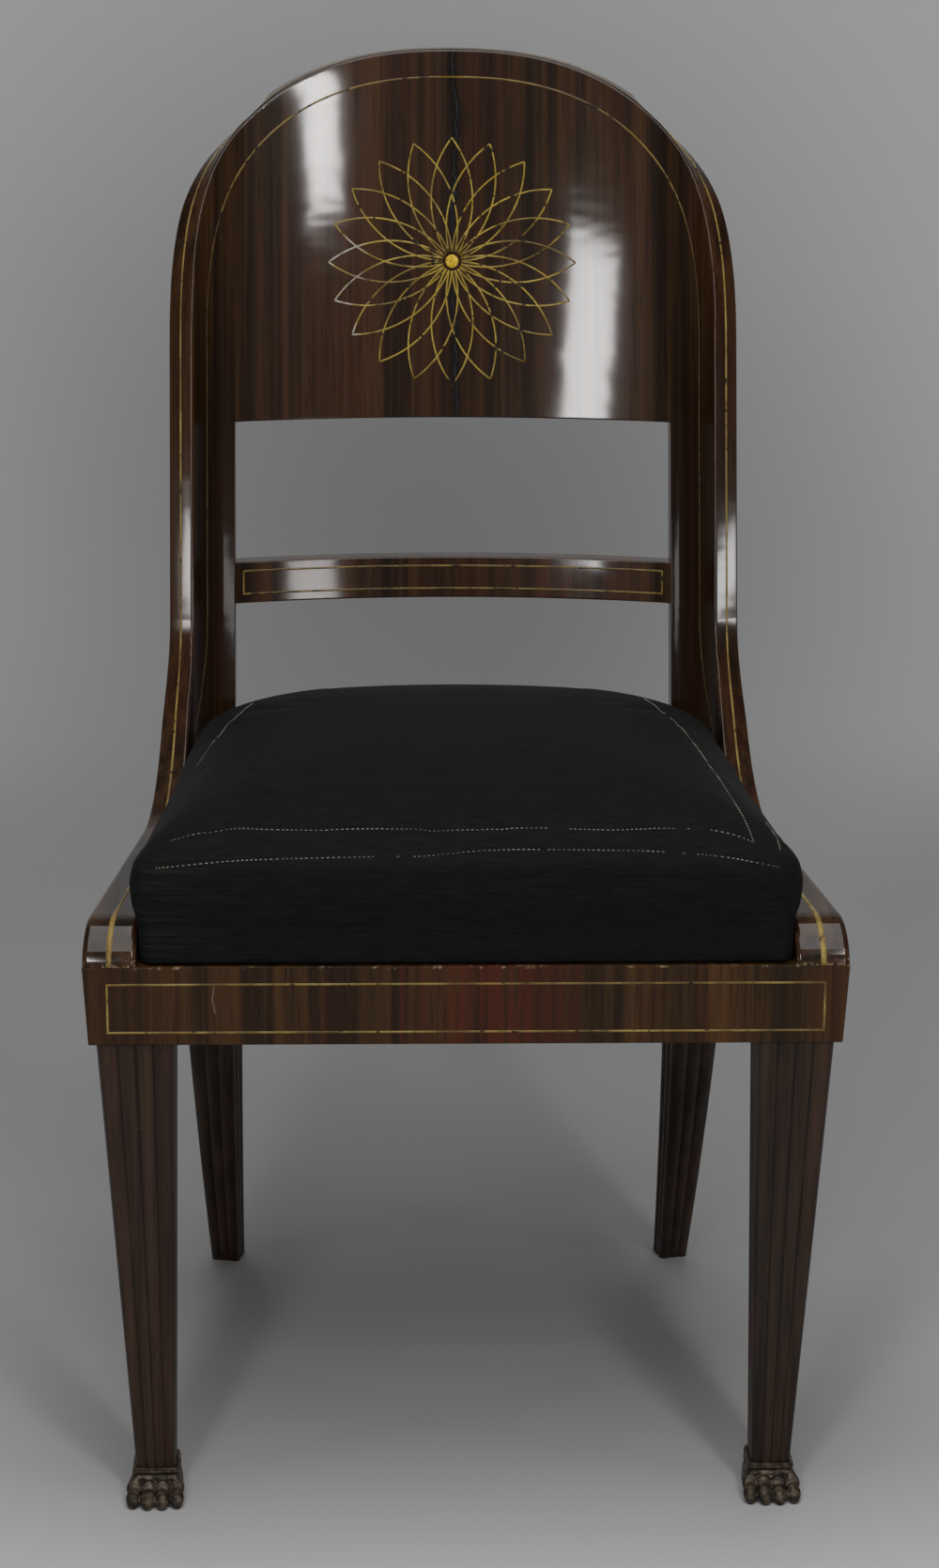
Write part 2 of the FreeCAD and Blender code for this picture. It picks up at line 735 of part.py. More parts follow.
mid_rail = mid_rail.cut(mid_groove).cut(both(mid_groove))

# Drop-in seat: outline of the seat at one height. inset is measured from the wall's inner face.
slip_z = rail_top + soft_gap


def seat_outline(z, inset, front_set, swell, corner, bow=0.0, factor=1.0, at_z=None):
    back_shift = rake * (z - rail_top) * seat_back_follow
    level = z if at_z is None else at_z
    tilt = seat_back_rise * min(1.0, max(0.0, (z - side_top) / (seat_edge - side_top))) / seat_depth
    yc = front_y + seat_depth * seat_crown_at

    def p(x, y):
        at_y = yc + (y - yc) * factor
        return V(x * factor, at_y, level + tilt * (at_y - front_y))

    r = corner_radius - inset
    yf = front_y + front_set
    fx = side_x(yf, rail_top, 0.0) - inset + swell
    k = corner * (1.0 - math.sqrt(0.5))
    dx = c2[0] + r * math.sin(turn_in)
    dy = (c2[1] + r * math.cos(turn_in)) / lean_c + back_shift * 0.5
    am = (turn_in + back_angle) / 2.0
    right = [p(fx - corner, yf), p(fx - k, yf + k), p(fx, yf + corner),
             p((fx + dx) / 2.0 - swell * 0.1 + least_bow, (yf + corner + dy) / 2.0), p(dx, dy),
             p(c2[0] + r * math.sin(am), (c2[1] + r * math.cos(am)) / lean_c + back_shift * 0.8),
             p(c2[0] + r * math.sin(back_angle), (c2[1] + r * math.cos(back_angle)) / lean_c + back_shift)]
    left = [V(-q.x, q.y, q.z) for q in reversed(right)]
    pts = right + [p(0, back_y - inset + back_shift)] + left
    pts += [p(0, yf - bow - least_bow), right[0]]
    ring = []
    for i, steps in zip(range(0, len(pts) - 2, 2), (3, 4, 4, 6, 4, 4, 3, 4)):
        arc = Part.Arc(pts[i], pts[i + 1], pts[i + 2])
        a = arc.FirstParameter
        b = arc.LastParameter
        ring += [arc.value(a + (b - a) * j / steps) for j in range(steps)]
    return ring


def seat_form(skin_in, z0):
    """The upholstered form: straight inside the side rails, swelling over them, crowned on top."""
    s = skin_in
    g = seat_side_gap
    f = seat_front_set
    rise = seat_edge - side_top
    # Each row: height, then shares of the edge's roll, the front's push, the side swell and the front's bow.
    shares = [(side_top + soft_gap, 0.0, 0.4, 0.0, 0.27),
              (side_top + rise * 0.27, 0.0, 0.8, 0.63, 0.4),
              (side_top + rise * 0.55, 0.08, 1.0, 1.0, 0.5),
              (side_top + rise * 0.82, 0.35, 0.0, 0.95, 0.67),
              (seat_edge - s, 1.0, 0.0, 0.63, 1.0)]
    rows = [(z0, g + s, f + s, 0.0, slip_corner, seat_bow * 0.1)]
    for i, (z, roll, push, swell, bow) in enumerate(shares):
        front_set = f - seat_front_push * push + s
        if i == len(shares) - 1:
            front_set += edge_roll * 0.7
        corner = seat_corner - seat_corner_step * (len(shares) - 1 - i)
        rows.append((z, g + edge_roll * roll + s, front_set, seat_swell * swell, corner, seat_bow * bow))
    rings = [seat_outline(*row) for row in rows]
    for factor, share in ((0.90, 0.34), (0.70, 0.72), (0.42, 0.93), (0.14, 1.0)):
        rings.append(seat_outline(*rows[-1], factor, seat_edge - s + (seat_crown - seat_edge) * share))
    return facet_loft(rings)


outer_form = seat_form(0.0, slip_z)
inner_form = seat_form(cover_t, slip_z - cover_open)
cover = outer_form.cut(inner_form)
ring_set = seat_front_set + return_in
return_ring = polygon(seat_outline(slip_z, seat_side_gap + return_in, ring_set, 0.0, slip_corner))
return_ring = return_ring.cut(polygon(seat_outline(slip_z, seat_side_gap + cover_return,
                                                   ring_set + cover_return, 0.0, slip_corner)))
cover = cover.fuse(return_ring.extrude(V(0, 0, cover_t)))

# Beech frame of the seat: four bars, the front and back ones running through.
bar_z0 = slip_z + cover_t + soft_gap
bar_in = seat_side_gap + cover_t + soft_gap + bar_gap
bar_set = seat_front_set + cover_t + soft_gap + bar_gap
bars = polygon(seat_outline(bar_z0, bar_in, bar_set, 0.0, slip_corner)).extrude(V(0, 0, slip_bar_h))
front_bar_y = front_y + bar_set + slip_bar_w
back_bar_y = back_y - bar_in - slip_bar_w
slip_front = bars.common(box(-far, far, -far, front_bar_y, 0, far))
slip_back = bars.common(box(-far, far, back_bar_y, far, 0, far))
xa = side_x(front_bar_y, rail_top, 0.0) - bar_in - slip_bar_w
xb = side_x(back_bar_y, rail_top, 0.0) - bar_in - slip_bar_w
slip_side = bars.common(polygon([V(xa, front_bar_y, 0), V(far, front_bar_y, 0), V(far, back_bar_y, 0),
                                 V(xb, back_bar_y, 0)]).extrude(V(0, 0, far)))
slip_dowels = []
for y, x in ((front_bar_y, xa), (back_bar_y, xb)):
    for off in (slip_dowel_in, slip_dowel_in + slip_dowel_step):
        at = V(x + off, y, bar_z0 + slip_bar_h / 2.0)
        slip_dowels.append(dowel(at, V(0, 1, 0), thin_dowel_d, thin_dowel_l))
        hole = dowel_hole(at, V(0, 1, 0), thin_dowel_d, thin_dowel_l)
        slip_side = slip_side.cut(hole)
        slip_front = slip_front.cut(hole).cut(both(hole))
        slip_back = slip_back.cut(hole).cut(both(hole))

# Webbing in two layers, hessian over it, then the hair stuffing under the cover.
web_z = bar_z0 + slip_bar_h + soft_gap
cross_z = web_z + webbing_t + soft_gap
hess_z = cross_z + webbing_t + soft_gap
stuff_z = hess_z + hessian_t + soft_gap
web_set = bar_set + webbing_end
web_ring = polygon(seat_outline(web_z, bar_in + webbing_end, web_set, 0.0, slip_corner))
seat_cut = web_ring.extrude(V(0, 0, slip_bar_h))
mid_y = front_y + seat_depth / 2.0
webbing_long = []
webbing_cross = []
for i in (-1, 0, 1):
    x = i * webbing_step
    y = mid_y + i * webbing_step
    strap = box(x - webbing_w / 2.0, x + webbing_w / 2.0, -far, far, web_z, web_z + webbing_t)
    webbing_long.append(solid_of(strap.common(seat_cut)))
    strap = box(-far, far, y - webbing_w / 2.0, y + webbing_w / 2.0, cross_z, cross_z + webbing_t)
    webbing_cross.append(solid_of(strap.common(seat_cut)))
hess_ring = seat_outline(hess_z, bar_in + hessian_edge, bar_set + hessian_edge, 0.0, slip_corner)
hessian = polygon(hess_ring).extrude(V(0, 0, hessian_t))
stuffing = seat_form(cover_t + soft_gap, slip_z - cover_open)
stuffing = stuffing.common(box(-far, far, -far, far, stuff_z, far))

for name, right in (("crest", crest), ("stile", stile), ("side_rail", side_rail),
                    ("front_leg", front_leg), ("rear_leg", rear_leg), ("paw_foot", paw),
                    ("front_block", front_block), ("rear_block", rear_block), ("ledger", ledger),
                    ("edge_string", edge_string), ("face_string", face_string), ("slip_side", slip_side)):
    save_pair(name, right)
groups = {"back_dowels": back_dowels, "seat_dowels": seat_dowels, "slip_dowels": slip_dowels}
for name, right in groups.items():
    save(name, Part.makeCompound(right + [both(x) for x in right]))
for name, shape in (("front_rail", front_rail), ("back_rail", back_rail), ("mid_rail", mid_rail),
                    ("crest_tongue", crest_tongue), ("star_disc", star_disc),
                    ("front_string", front_string), ("mid_string", mid_string),
                    ("slip_front", slip_front), ("slip_back", slip_back), ("hessian", hessian),
                    ("hair_stuffing", stuffing), ("haircloth_cover", cover)):
    save(name, shape)
save("webbing_long", Part.makeCompound(webbing_long))
save("webbing_cross", Part.makeCompound(webbing_cross))
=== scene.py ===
import bmesh
import bpy
import math
import random
from mathutils import Matrix, Quaternion, Vector
from mathutils.bvhtree import BVHTree
from mathutils.kdtree import KDTree


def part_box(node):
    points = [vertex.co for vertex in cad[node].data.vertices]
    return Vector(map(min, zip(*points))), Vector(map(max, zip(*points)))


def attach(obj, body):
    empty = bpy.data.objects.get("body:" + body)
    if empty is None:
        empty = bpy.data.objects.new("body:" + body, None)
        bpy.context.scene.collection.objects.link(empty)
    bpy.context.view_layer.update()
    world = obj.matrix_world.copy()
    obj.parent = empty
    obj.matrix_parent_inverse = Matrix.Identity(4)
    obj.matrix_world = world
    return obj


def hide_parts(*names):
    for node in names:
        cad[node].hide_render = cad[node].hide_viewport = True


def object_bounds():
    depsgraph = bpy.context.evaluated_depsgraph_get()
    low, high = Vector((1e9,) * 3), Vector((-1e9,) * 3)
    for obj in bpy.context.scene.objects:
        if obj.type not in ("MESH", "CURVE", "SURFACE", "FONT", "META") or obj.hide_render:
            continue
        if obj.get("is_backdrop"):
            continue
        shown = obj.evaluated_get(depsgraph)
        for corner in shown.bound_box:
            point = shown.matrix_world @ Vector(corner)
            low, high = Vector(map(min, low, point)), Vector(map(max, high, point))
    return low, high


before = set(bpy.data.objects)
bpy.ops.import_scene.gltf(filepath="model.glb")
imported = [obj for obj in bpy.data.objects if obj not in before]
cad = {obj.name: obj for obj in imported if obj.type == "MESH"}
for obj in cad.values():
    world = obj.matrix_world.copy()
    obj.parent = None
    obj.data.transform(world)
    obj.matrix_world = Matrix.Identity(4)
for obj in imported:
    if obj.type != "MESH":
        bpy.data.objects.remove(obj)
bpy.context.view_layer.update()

# Crest of the back: two thick boards sawn to a shallow curve, veneered upright in rosewood and polished.
# They are glued edge to edge on the centre line, where the old joint shows as a dark, ragged line.
height = 0.914
rail_bottom = 0.320
rail_top = 0.372
side_top = 0.397
rake = 0.275
back_radius = 0.600
back_angle = math.radians(14.4)
corner_radius = 0.055
wall_t = 0.020
front_half = 0.2437
side_front_t = 0.034
seat_depth = 0.361
edge_half = 0.206
arch_rise = 0.205
arch_share = 2 / 2.4
sweep_run = 0.085
sweep_rise = 0.122
opening_half = 0.1588
crest_bottom = 0.652
shoulder_z = 0.800
edge_radius = 0.0022
opening_radius = 0.0012
foot_radius = 0.0006
rim_steps = 4
sharp_angle = math.radians(38)
front_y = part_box("front_rail")[0].y
back_y = front_y + seat_depth
lean_c = math.cos(math.atan(rake))
back_centre = back_y * lean_c - back_radius
corner_x = (back_radius - corner_radius) * math.sin(back_angle)
corner_y = back_centre + (back_radius - corner_radius) * math.cos(back_angle)


def clamp(t):
    return max(0, min(1, t))


def blend(a, b, s):
    return a + (b - a) * s


def quarter(count):
    """Angles from 0 to 90 degrees in even steps."""
    return [math.radians(90 * i / count) for i in range(count + 1)]


def oblong(x0, y0, x1, y1):
    return [(x0, y0), (x1, y0), (x1, y1), (x0, y1)]


def corner_turn(x, radius):
    """Angle at which the corner arc runs straight on to the point x on the front line."""
    dx = x - corner_x
    dy = front_y * lean_c - corner_y
    return math.atan2(dx, dy) - math.acos(radius / math.hypot(dx, dy))


turn_in = corner_turn(front_half - side_front_t, corner_radius)
turn_out = corner_turn(front_half, corner_radius + wall_t)


def square_plan(q, w):
    """Plan of the wall, square to the lean: back arc, corner arc, side. w is 0 inside and 1 outside."""
    r = back_radius + w * wall_t
    if q <= 1:
        return r * math.sin(q * back_angle), back_centre + r * math.cos(q * back_angle)
    end = blend(turn_in, turn_out, w)
    r = corner_radius + w * wall_t
    a = back_angle + (min(q, 2) - 1) * (end - back_angle)
    x = corner_x + r * math.sin(a)
    y = corner_y + r * math.cos(a)
    if q <= 2:
        return x, y
    front_x = front_half - side_front_t * (1 - w)
    return blend(x, front_x, q - 2), blend(y, front_y * lean_c, q - 2)


run_back = back_radius * back_angle
run_corner = corner_radius * (turn_in - back_angle)
corner_end = square_plan(2, 0)
run_side = math.hypot(front_half - side_front_t - corner_end[0], front_y * lean_c - corner_end[1])
run_all = run_back + run_corner + run_side
joint_in = math.asin((opening_half - corner_x) / corner_radius)
joint_out = math.asin((opening_half - corner_x) / (corner_radius + wall_t))
joint_u = run_back + corner_radius * (joint_in - back_angle)
joint_slip = ((joint_out - back_angle) / (turn_out - back_angle)
              - (joint_in - back_angle) / (turn_in - back_angle))


def wall_point(u, z, w):
    """Point of the leaning wall: u is measured round the inner face from the centre line."""
    run = abs(u)
    if run <= run_back:
        q = run / run_back
    elif run <= run_back + run_corner:
        q = 1 + (run - run_back) / run_corner
    else:
        q = 2 + (run - run_back - run_corner) / run_side
    q += w * joint_slip * max(0, 1 - abs(run - joint_u) / 0.03)
    x, y = square_plan(max(q, 0), w)
    return Vector((math.copysign(x, u), y / lean_c + rake * (z - rail_top), z))


def arch_u(z):
    c = ((z - height + arch_rise) / arch_rise) ** (1 / arch_share)
    return edge_half * math.sqrt(max(0, 1 - c * c)) ** arch_share


def swept_edge():
    """The front edge on the unrolled face, from the crest's centre down to the front of the seat rail."""
    arch_z = height - arch_rise
    sweep_z = side_top + sweep_rise
    line = [(edge_half * math.sin(a) ** arch_share, arch_z + arch_rise * max(0, math.cos(a)) ** arch_share)
            for a in quarter(48)]
    line += [(edge_half, blend(line[-1][1], sweep_z, i / 12)) for i in range(1, 12)]
    line += [(edge_half + sweep_run * (1 - math.cos(a)), sweep_z - sweep_rise * math.sin(a))
             for a in quarter(24)]
    side_rise = side_top - rail_top
    flat_end = run_all - side_rise
    line += [(blend(edge_half + sweep_run, flat_end, i / 10), side_top) for i in range(1, 10)]
    line += [(flat_end + side_rise * math.sin(a), rail_top + side_rise * math.cos(a)) for a in quarter(12)]
    return line


swept = swept_edge()


def rim_radius(u, z):
    """Rounding of a board's rim: full on the swept edge, small at the openings, none where boards meet."""
    u = abs(u)
    for (ua, za), (ub, zb) in zip(swept, swept[1:]):
        if min(ua, ub) - 1e-5 <= u <= max(ua, ub) + 1e-5 and min(za, zb) - 1e-5 <= z <= max(za, zb) + 1e-5:
            return edge_radius
    if abs(z - crest_bottom) < 1e-6:
        return opening_radius
    if abs(u - joint_u) < 1e-6 and rail_top + 0.026 < z < crest_bottom:
        return opening_radius
    return foot_radius if abs(z - rail_bottom) < 1e-6 else 0


def inset_outline(outline, radii):
    """The outline moved in by each side's own radius. It runs anticlockwise."""
    moved = []
    n = len(outline)
    for i, (u, z) in enumerate(outline):
        lines = []
        for a, b, r in ((outline[i - 1], (u, z), radii[i - 1]), ((u, z), outline[(i + 1) % n], radii[i])):
            d = Vector((b[0] - a[0], b[1] - a[1])).normalized()
            lines.append((d, Vector((-d.y, d.x)) * r))
        (da, oa), (db, ob) = lines
        cross = da.x * db.y - da.y * db.x
        shift = (oa + ob) / 2
        if abs(cross) >= 0.05:
            shift = oa + da * (((ob.x - oa.x) * db.y - (ob.y - oa.y) * db.x) / cross)
        moved.append((u + shift.x, z + shift.y))
    return moved


def slice_up(net, points, axis, step, more=0):
    """Cuts a flat net of faces at even steps along one axis."""
    low = min(p[axis] for p in points)
    high = max(p[axis] for p in points)
    side = Vector((1 - axis, axis, 0))
    for i in range(1, int((high - low) / step) + more):
        bmesh.ops.bisect_plane(net, geom=net.verts[:] + net.edges[:] + net.faces[:], dist=1e-5,
                               plane_co=side * (low + i * step), plane_no=side)


def new_piece(name, shape, smooth=False, broad=False):
    """Object of a finished shape. broad keeps the normals of its wide faces flat."""
    mesh = shape
    if isinstance(shape, bmesh.types.BMesh):
        mesh = bpy.data.meshes.new(name)
        shape.to_mesh(mesh)
        shape.free()
    if smooth:
        mesh.shade_smooth()
    piece = bpy.data.objects.new(name, mesh)
    bpy.context.scene.collection.objects.link(piece)
    if broad:
        piece.modifiers.new("broad_faces", "WEIGHTED_NORMAL").keep_sharp = True
    return piece


def settle(piece, body, slot, node, *finishes):
    """Gives a piece its finishes, the body it rides and the CAD node it stands for, if any. The slot is not
    used.
    """
    for finish in finishes:
        piece.data.materials.append(finish)
    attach(piece, body)
    if node:
        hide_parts(node)


def nearest_side(p, outline):
    """Side of an outline that lies nearest to a point, and how far along it."""
    best = None
    for i, corner in enumerate(outline):
        a = Vector(corner)
        d = Vector(outline[(i + 1) % len(outline)]) - a
        t = clamp((p - a).dot(d) / max(d.length_squared, 1e-12))
        gap = (a + d * t - p).length
        if best is None or gap < best[0] - 1e-9:
            best = (gap, i, t)
    return best[1:]


def wall_board(name, outline, w0=0, w1=1, radius_at=rim_radius, edge_slot=0):
    """Board of the curved wall with rounded rims, from its outline on the unrolled inner face."""
    n = len(outline)
    radii = [radius_at((a[0] + b[0]) / 2, (a[1] + b[1]) / 2)
             for a, b in zip(outline, outline[1:] + outline[:1])]
    inner = inset_outline(outline, radii)
    flat = bmesh.new()
    flat.faces.new([flat.verts.new((u, z, 0)) for u, z in inner])
    slice_up(flat, outline, 0, 0.005)
    slice_up(flat, outline, 1, 0.02)
    flat.verts.index_update()
    board = bmesh.new()
    front = [board.verts.new(wall_point(v.co.x, v.co.y, w0)) for v in flat.verts]
    back = [board.verts.new(wall_point(v.co.x, v.co.y, w1)) for v in flat.verts]
    for f in flat.faces:
        board.faces.new([front[v.index] for v in f.verts])
        board.faces.new([back[v.index] for v in reversed(f.verts)])
    rows = {}
    for v in flat.verts:
        if not any(len(e.link_faces) == 1 for e in v.link_edges):
            continue
        i, t = nearest_side(v.co.xy, inner)
        full = blend(Vector(outline[i]), Vector(outline[(i + 1) % n]), t)
        near = radii[i]
        if t < 1e-4:
            near = max(near, radii[i - 1])
        if t > 1 - 1e-4:
            near = max(near, radii[(i + 1) % n])
        row = [front[v.index]]
        bends = quarter(rim_steps)[1:]
        for a, w, way in [(a, w0, 1) for a in bends] + [(a, w1, -1) for a in reversed(bends)]:
            p = blend(v.co.xy, full, math.sin(a))
            depth = near * (1 - math.cos(a)) / wall_t
            row.append(board.verts.new(wall_point(p.x, p.y, w + way * depth)))
        rows[v.index] = row + [back[v.index]]
    for e in flat.edges:
        if len(e.link_faces) == 1:
            a = rows[e.verts[0].index]
            b = rows[e.verts[1].index]
            for k in range(len(a) - 1):
                board.faces.new((a[k], b[k], b[k + 1], a[k + 1])).material_index = edge_slot
    flat.free()
    bmesh.ops.remove_doubles(board, verts=board.verts[:], dist=2e-6)
    bmesh.ops.recalc_face_normals(board, faces=board.faces[:])
    for f in board.faces:
        f.smooth = True
    for e in board.edges:
        e.smooth = e.calc_face_angle(0) < sharp_angle
    return new_piece(name, board, broad=True)


def both_hands(node, outline, *finishes, **how):
    """A board on the right and its mirrored twin on the left, both riding the frame."""
    twin = [(-u, z) for u, z in reversed(outline)]
    for hand, line in (("_right", outline), ("_left", twin)):
        board = wall_board("polished_" + node + hand, line, **how)
        settle(board, "frame", "rosewood", node + hand, *finishes)


def feed(node, inputs):
    """Sets or links inputs of a shader node. A value is a number, a colour or another node's output."""
    for key, value in inputs.items():
        socket = node.inputs[key]
        if isinstance(value, bpy.types.NodeSocket):
            node.id_data.links.new(value, socket)
        else:
            socket.default_value = (*value, 1) if socket.type == "RGBA" else value
    return node


def add(kind, inputs, tree=None, **settings):
    """Outputs of a new shader node, which stands in the tree of the values that it takes."""
    tree = tree or next(v.id_data for v in inputs.values() if isinstance(v, bpy.types.NodeSocket))
    node = tree.nodes.new("ShaderNode" + kind)
    for key, value in settings.items():
        setattr(node, key, value)
    return feed(node, inputs).outputs


def axes(place):
    return add("SeparateXYZ", {0: place})


def cloud(place, scale, detail=4, rough=0.55, twist=0):
    """Noise over coordinates drawn out by one scale, or by one on each axis."""
    scale = scale if isinstance(scale, tuple) else (scale, scale, scale)
    placed = add("VectorMath", {0: place, 1: scale}, operation="MULTIPLY")[0]
    return add("TexNoise", {"Vector": placed, "Scale": 1, "Detail": detail, "Roughness": rough,
                            "Distortion": twist})[0]


def steps_of(value, low, high, first=0, last=1):
    """Value brought from low..high to first..last with soft ends."""
    return add("MapRange", {0: value, 1: low, 2: high, 3: first, 4: last},
               interpolation_type="SMOOTHSTEP")[0]


def sums(kind, a, b=0):
    return add("Math", {0: a, 1: b}, operation=kind)[0]


def times(a, b):
    return sums("MULTIPLY", a, b)


def tint(share, a, b):
    """Colour between a and b."""
    return add("Mix", {0: share, 6: a, 7: b}, data_type="RGBA")[2]


def bump(raised, strength, distance):
    return add("Bump", {"Strength": strength, "Distance": distance, "Height": raised})[0]


def new_group(name, inputs, outputs):
    """Shader group with named sockets; gives the group, what goes in and the node for what comes out."""
    group = bpy.data.node_groups.new(name, "ShaderNodeTree")
    for way, sockets in (("INPUT", inputs), ("OUTPUT", outputs)):
        for label, kind in sockets.items():
            group.interface.new_socket(label, in_out=way, socket_type="NodeSocket" + kind)
    return group, group.nodes.new("NodeGroupInput").outputs, group.nodes.new("NodeGroupOutput")


def new_material(name):
    """Fresh material; gives it, its shader and the coordinates on the object."""
    mat = bpy.data.materials.new(name)
    mat.use_nodes = True
    return mat, mat.node_tree.nodes["Principled BSDF"], add("TexCoord", {}, mat.node_tree)["Object"]


# Figure of rosewood: near-black lines and warmer streaks along the grain, which runs up Z, and open pores.
figure, figure_in, figure_out = new_group(
    "rosewood_figure",
    {"Vector": "Vector", "Dark": "Color", "Brown": "Color", "Red": "Color", "Red Share": "Float"},
    {"Color": "Color", "Height": "Float", "Haze": "Float"})
grain_at = figure_in["Vector"]
streak = cloud(grain_at, (95, 95, 1.5), 6, 0.64, 0.12)
lines = cloud(grain_at, (280, 280, 3), 4, 0.6, 0.08)
patch = cloud(grain_at, (26, 26, 1.3), 3, 0.5, 0.2)
pores = steps_of(cloud(grain_at, (900, 900, 26), 2, 0.5), 0.58, 0.70)
wood_colour = tint(steps_of(streak, 0.36, 0.66), figure_in["Dark"], figure_in["Brown"])
red_here = times(steps_of(patch, 0.42, 0.68), figure_in["Red Share"])
wood_colour = tint(red_here, wood_colour, figure_in["Red"])
wood_colour = tint(steps_of(lines, 0.52, 0.74, 0, 0.7), wood_colour, figure_in["Dark"])
feed(figure_out, {"Color": tint(times(pores, 0.6), wood_colour, (0.004, 0.002, 0.0015)),
                  "Height": sums("SUBTRACT", times(lines, 0.25), pores),
                  "Haze": cloud(grain_at, (22, 22, 9), 5, 0.65, 0.6)})

# Rubbed and chipped spots, used on veneer edges, stringing, bronze, beech and cloth.
rubbed, rubbed_in, rubbed_out = new_group(
    "rubbed_spots", {"Vector": "Vector", "Size": "Float", "Amount": "Float"}, {"Mask": "Float"})
rub_at = add("VectorMath", {0: rubbed_in["Vector"], "Scale": rubbed_in["Size"]}, operation="SCALE")[0]
rub_noise = add("TexNoise", {"Vector": rub_at, "Scale": 1, "Detail": 6, "Roughness": 0.6})[0]
rub_edge = sums("SUBTRACT", 0.78, times(rubbed_in["Amount"], 0.4))
rub_mask = add("MapRange", {0: rub_noise, 1: rub_edge, 2: sums("ADD", rub_edge, 0.05)})[0]
feed(rubbed_out, {"Mask": rub_mask})


def spots_on(place, size, amount):
    return add("Group", {"Vector": place, "Size": size, "Amount": amount}, node_tree=rubbed)[0]


def wood(name, grain="Z", dark=(0.012, 0.0056, 0.0026), brown=(0.056, 0.0245, 0.0088), red_share=0.5,
         rough=(0.28, 0.42), gloss=0.05, coat=0.62, coat_rough=0.07, lean=0, change=None):
    """Polished rosewood. change(place, colour, lift) may alter the colour and the height."""
    mat, shader, place = new_material(name)
    x, y, z = axes(place)
    if grain == "Y":
        y, z = z, y
    elif lean:
        y = sums("SUBTRACT", y, times(z, lean))
    along = add("CombineXYZ", {0: x, 1: y, 2: z})[0]
    look = add("Group", {"Vector": along, "Dark": dark, "Brown": brown, "Red": (0.078, 0.022, 0.0085),
                         "Red Share": red_share}, node_tree=figure)
    sunk = bump(cloud(along, (16, 16, 34), 2, 0.5), 1, 0.00014)
    feed(shader, {"Roughness": steps_of(look["Haze"], 0.3, 0.75, *rough), "Specular IOR Level": gloss,
                  "Coat Weight": coat, "Coat Roughness": coat_rough, "Coat Normal": sunk})
    colour = look["Color"]
    lift = look["Height"]
    if change:
        colour, lift = change(place, colour, lift)
    fine = add("Bump", {"Strength": 0.08, "Distance": 0.0003, "Height": lift, "Normal": sunk})[0]
    feed(shader, {"Base Color": colour, "Normal": fine})
    return mat


def centre_joint(place, colour, lift):
    """The open glue line on the crest's centre, and two small old nicks beside it."""
    ragged = cloud(place, (30, 30, 24), 5, 0.75)
    shifted = sums("ADD", axes(place)[0], steps_of(ragged, 0.25, 0.75, -0.003, 0.003))
    gap = sums("ABSOLUTE", sums("SUBTRACT", shifted, 0.002))
    width = steps_of(cloud(place, (5, 5, 11), 3), 0.3, 0.7, 0.0016, 0.0058)
    joint = add("MapRange", {0: gap, 1: width, 2: 0.0008, 3: 0, 4: 0.95})[0]
    colour = tint(steps_of(gap, 0.016, 0.002, 0, 0.6), colour, (0.010, 0.0055, 0.003))
    colour = tint(joint, colour, (0.0022, 0.0018, 0.0017))
    colour = tint(steps_of(gap, 0.0009, 0.0003, 0, 0.6), colour, (0.034, 0.033, 0.036))
    for spot, size in (((-0.1085, 0.2265, 0.862), 0.0034), ((0.080, 0.182, 0.688), 0.0028)):
        away = add("VectorMath", {0: place, 1: spot}, operation="DISTANCE")[1]
        away = sums("ADD", away, steps_of(ragged, 0.3, 0.7, -0.0015, 0.0015))
        colour = tint(steps_of(away, size, size * 0.5), colour, (0.003, 0.002, 0.0018))
    return colour, lift


crest_arc = [(arch_u(shoulder_z), shoulder_z)] + [p for p in reversed(swept) if p[1] > shoulder_z + 1e-4]
crest_outline = [(0, crest_bottom), (joint_u, crest_bottom), (joint_u, shoulder_z)] + crest_arc
both_hands("crest", crest_outline, wood("crest_veneer", red_share=0.4, lean=rake, change=centre_joint))

# Stiles: one bent post on each side, from the seat frame up to the shoulder of the crest, sweeping forward
# into the arm of the seat rail. Solid beech, veneered in rosewood, dowelled to the crest and the rails.
scarf_run = 0.030
scarf_y = back_y - 0.153
mid_low = 0.524
mid_high = 0.553
back_rail_top = 0.398


def side_u(y, z):
    """Where a straight cut across the side stands on the unrolled face, from its y at the height z."""
    y0 = corner_end[1] / lean_c
    return run_back + run_corner + (y - rake * (z - rail_top) - y0) / (front_y - y0) * run_side


scarf_top = (side_u(scarf_y, side_top), side_top)
scarf_foot = (side_u(scarf_y + scarf_run, rail_bottom), rail_bottom)
stile_edge = [(arch_u(shoulder_z), shoulder_z)]
stile_edge += [p for p in swept if p[1] < shoulder_z - 1e-4 and p[0] < scarf_top[0] - 0.002]
stile_outline = [(joint_u, rail_bottom), scarf_foot, scarf_top] + stile_edge[::-1]
stile_outline += [(joint_u, z) for z in (shoulder_z, crest_bottom, mid_high, mid_low, back_rail_top)]


def polish_and_painted_shade_below(place, colour, lift):
    """The polish is darker and duller down the stile, away from the crest; the darker colour is partly old
    polish, partly painted shade.
    """
    z = axes(place)[2]
    feed(place.id_data.nodes["Principled BSDF"], {"Coat Weight": steps_of(z, 0.79, 0.66, 0.62, 0.12)})
    # Painted shade, with darker old polish: the colour darkens from z 0.80 down to 0.66.
    return tint(steps_of(z, 0.80, 0.66, 0, 0.62), colour, (0.0055, 0.0040, 0.0025)), lift


# The faces of the stiles take painted shade down the stile, partly for darker old polish.
both_hands("stile", stile_outline, wood("stile_face_veneer", red_share=0.3, lean=rake, change=polish_and_painted_shade_below),
           wood("stile_edge_veneer", red_share=0.3, lean=rake), edge_slot=1)

# Middle rail of the back: a thin curved slat between the stiles, veneered upright, set 2 mm in from both
# faces of the stiles and held by one dowel at each end.
mid_in = 0.1


def radius_on(levels):
    """Rounding of a board whose rims are round at some heights only."""
    return lambda u, z: next((r for level, r in levels if abs(z - level) < 1e-6), 0)


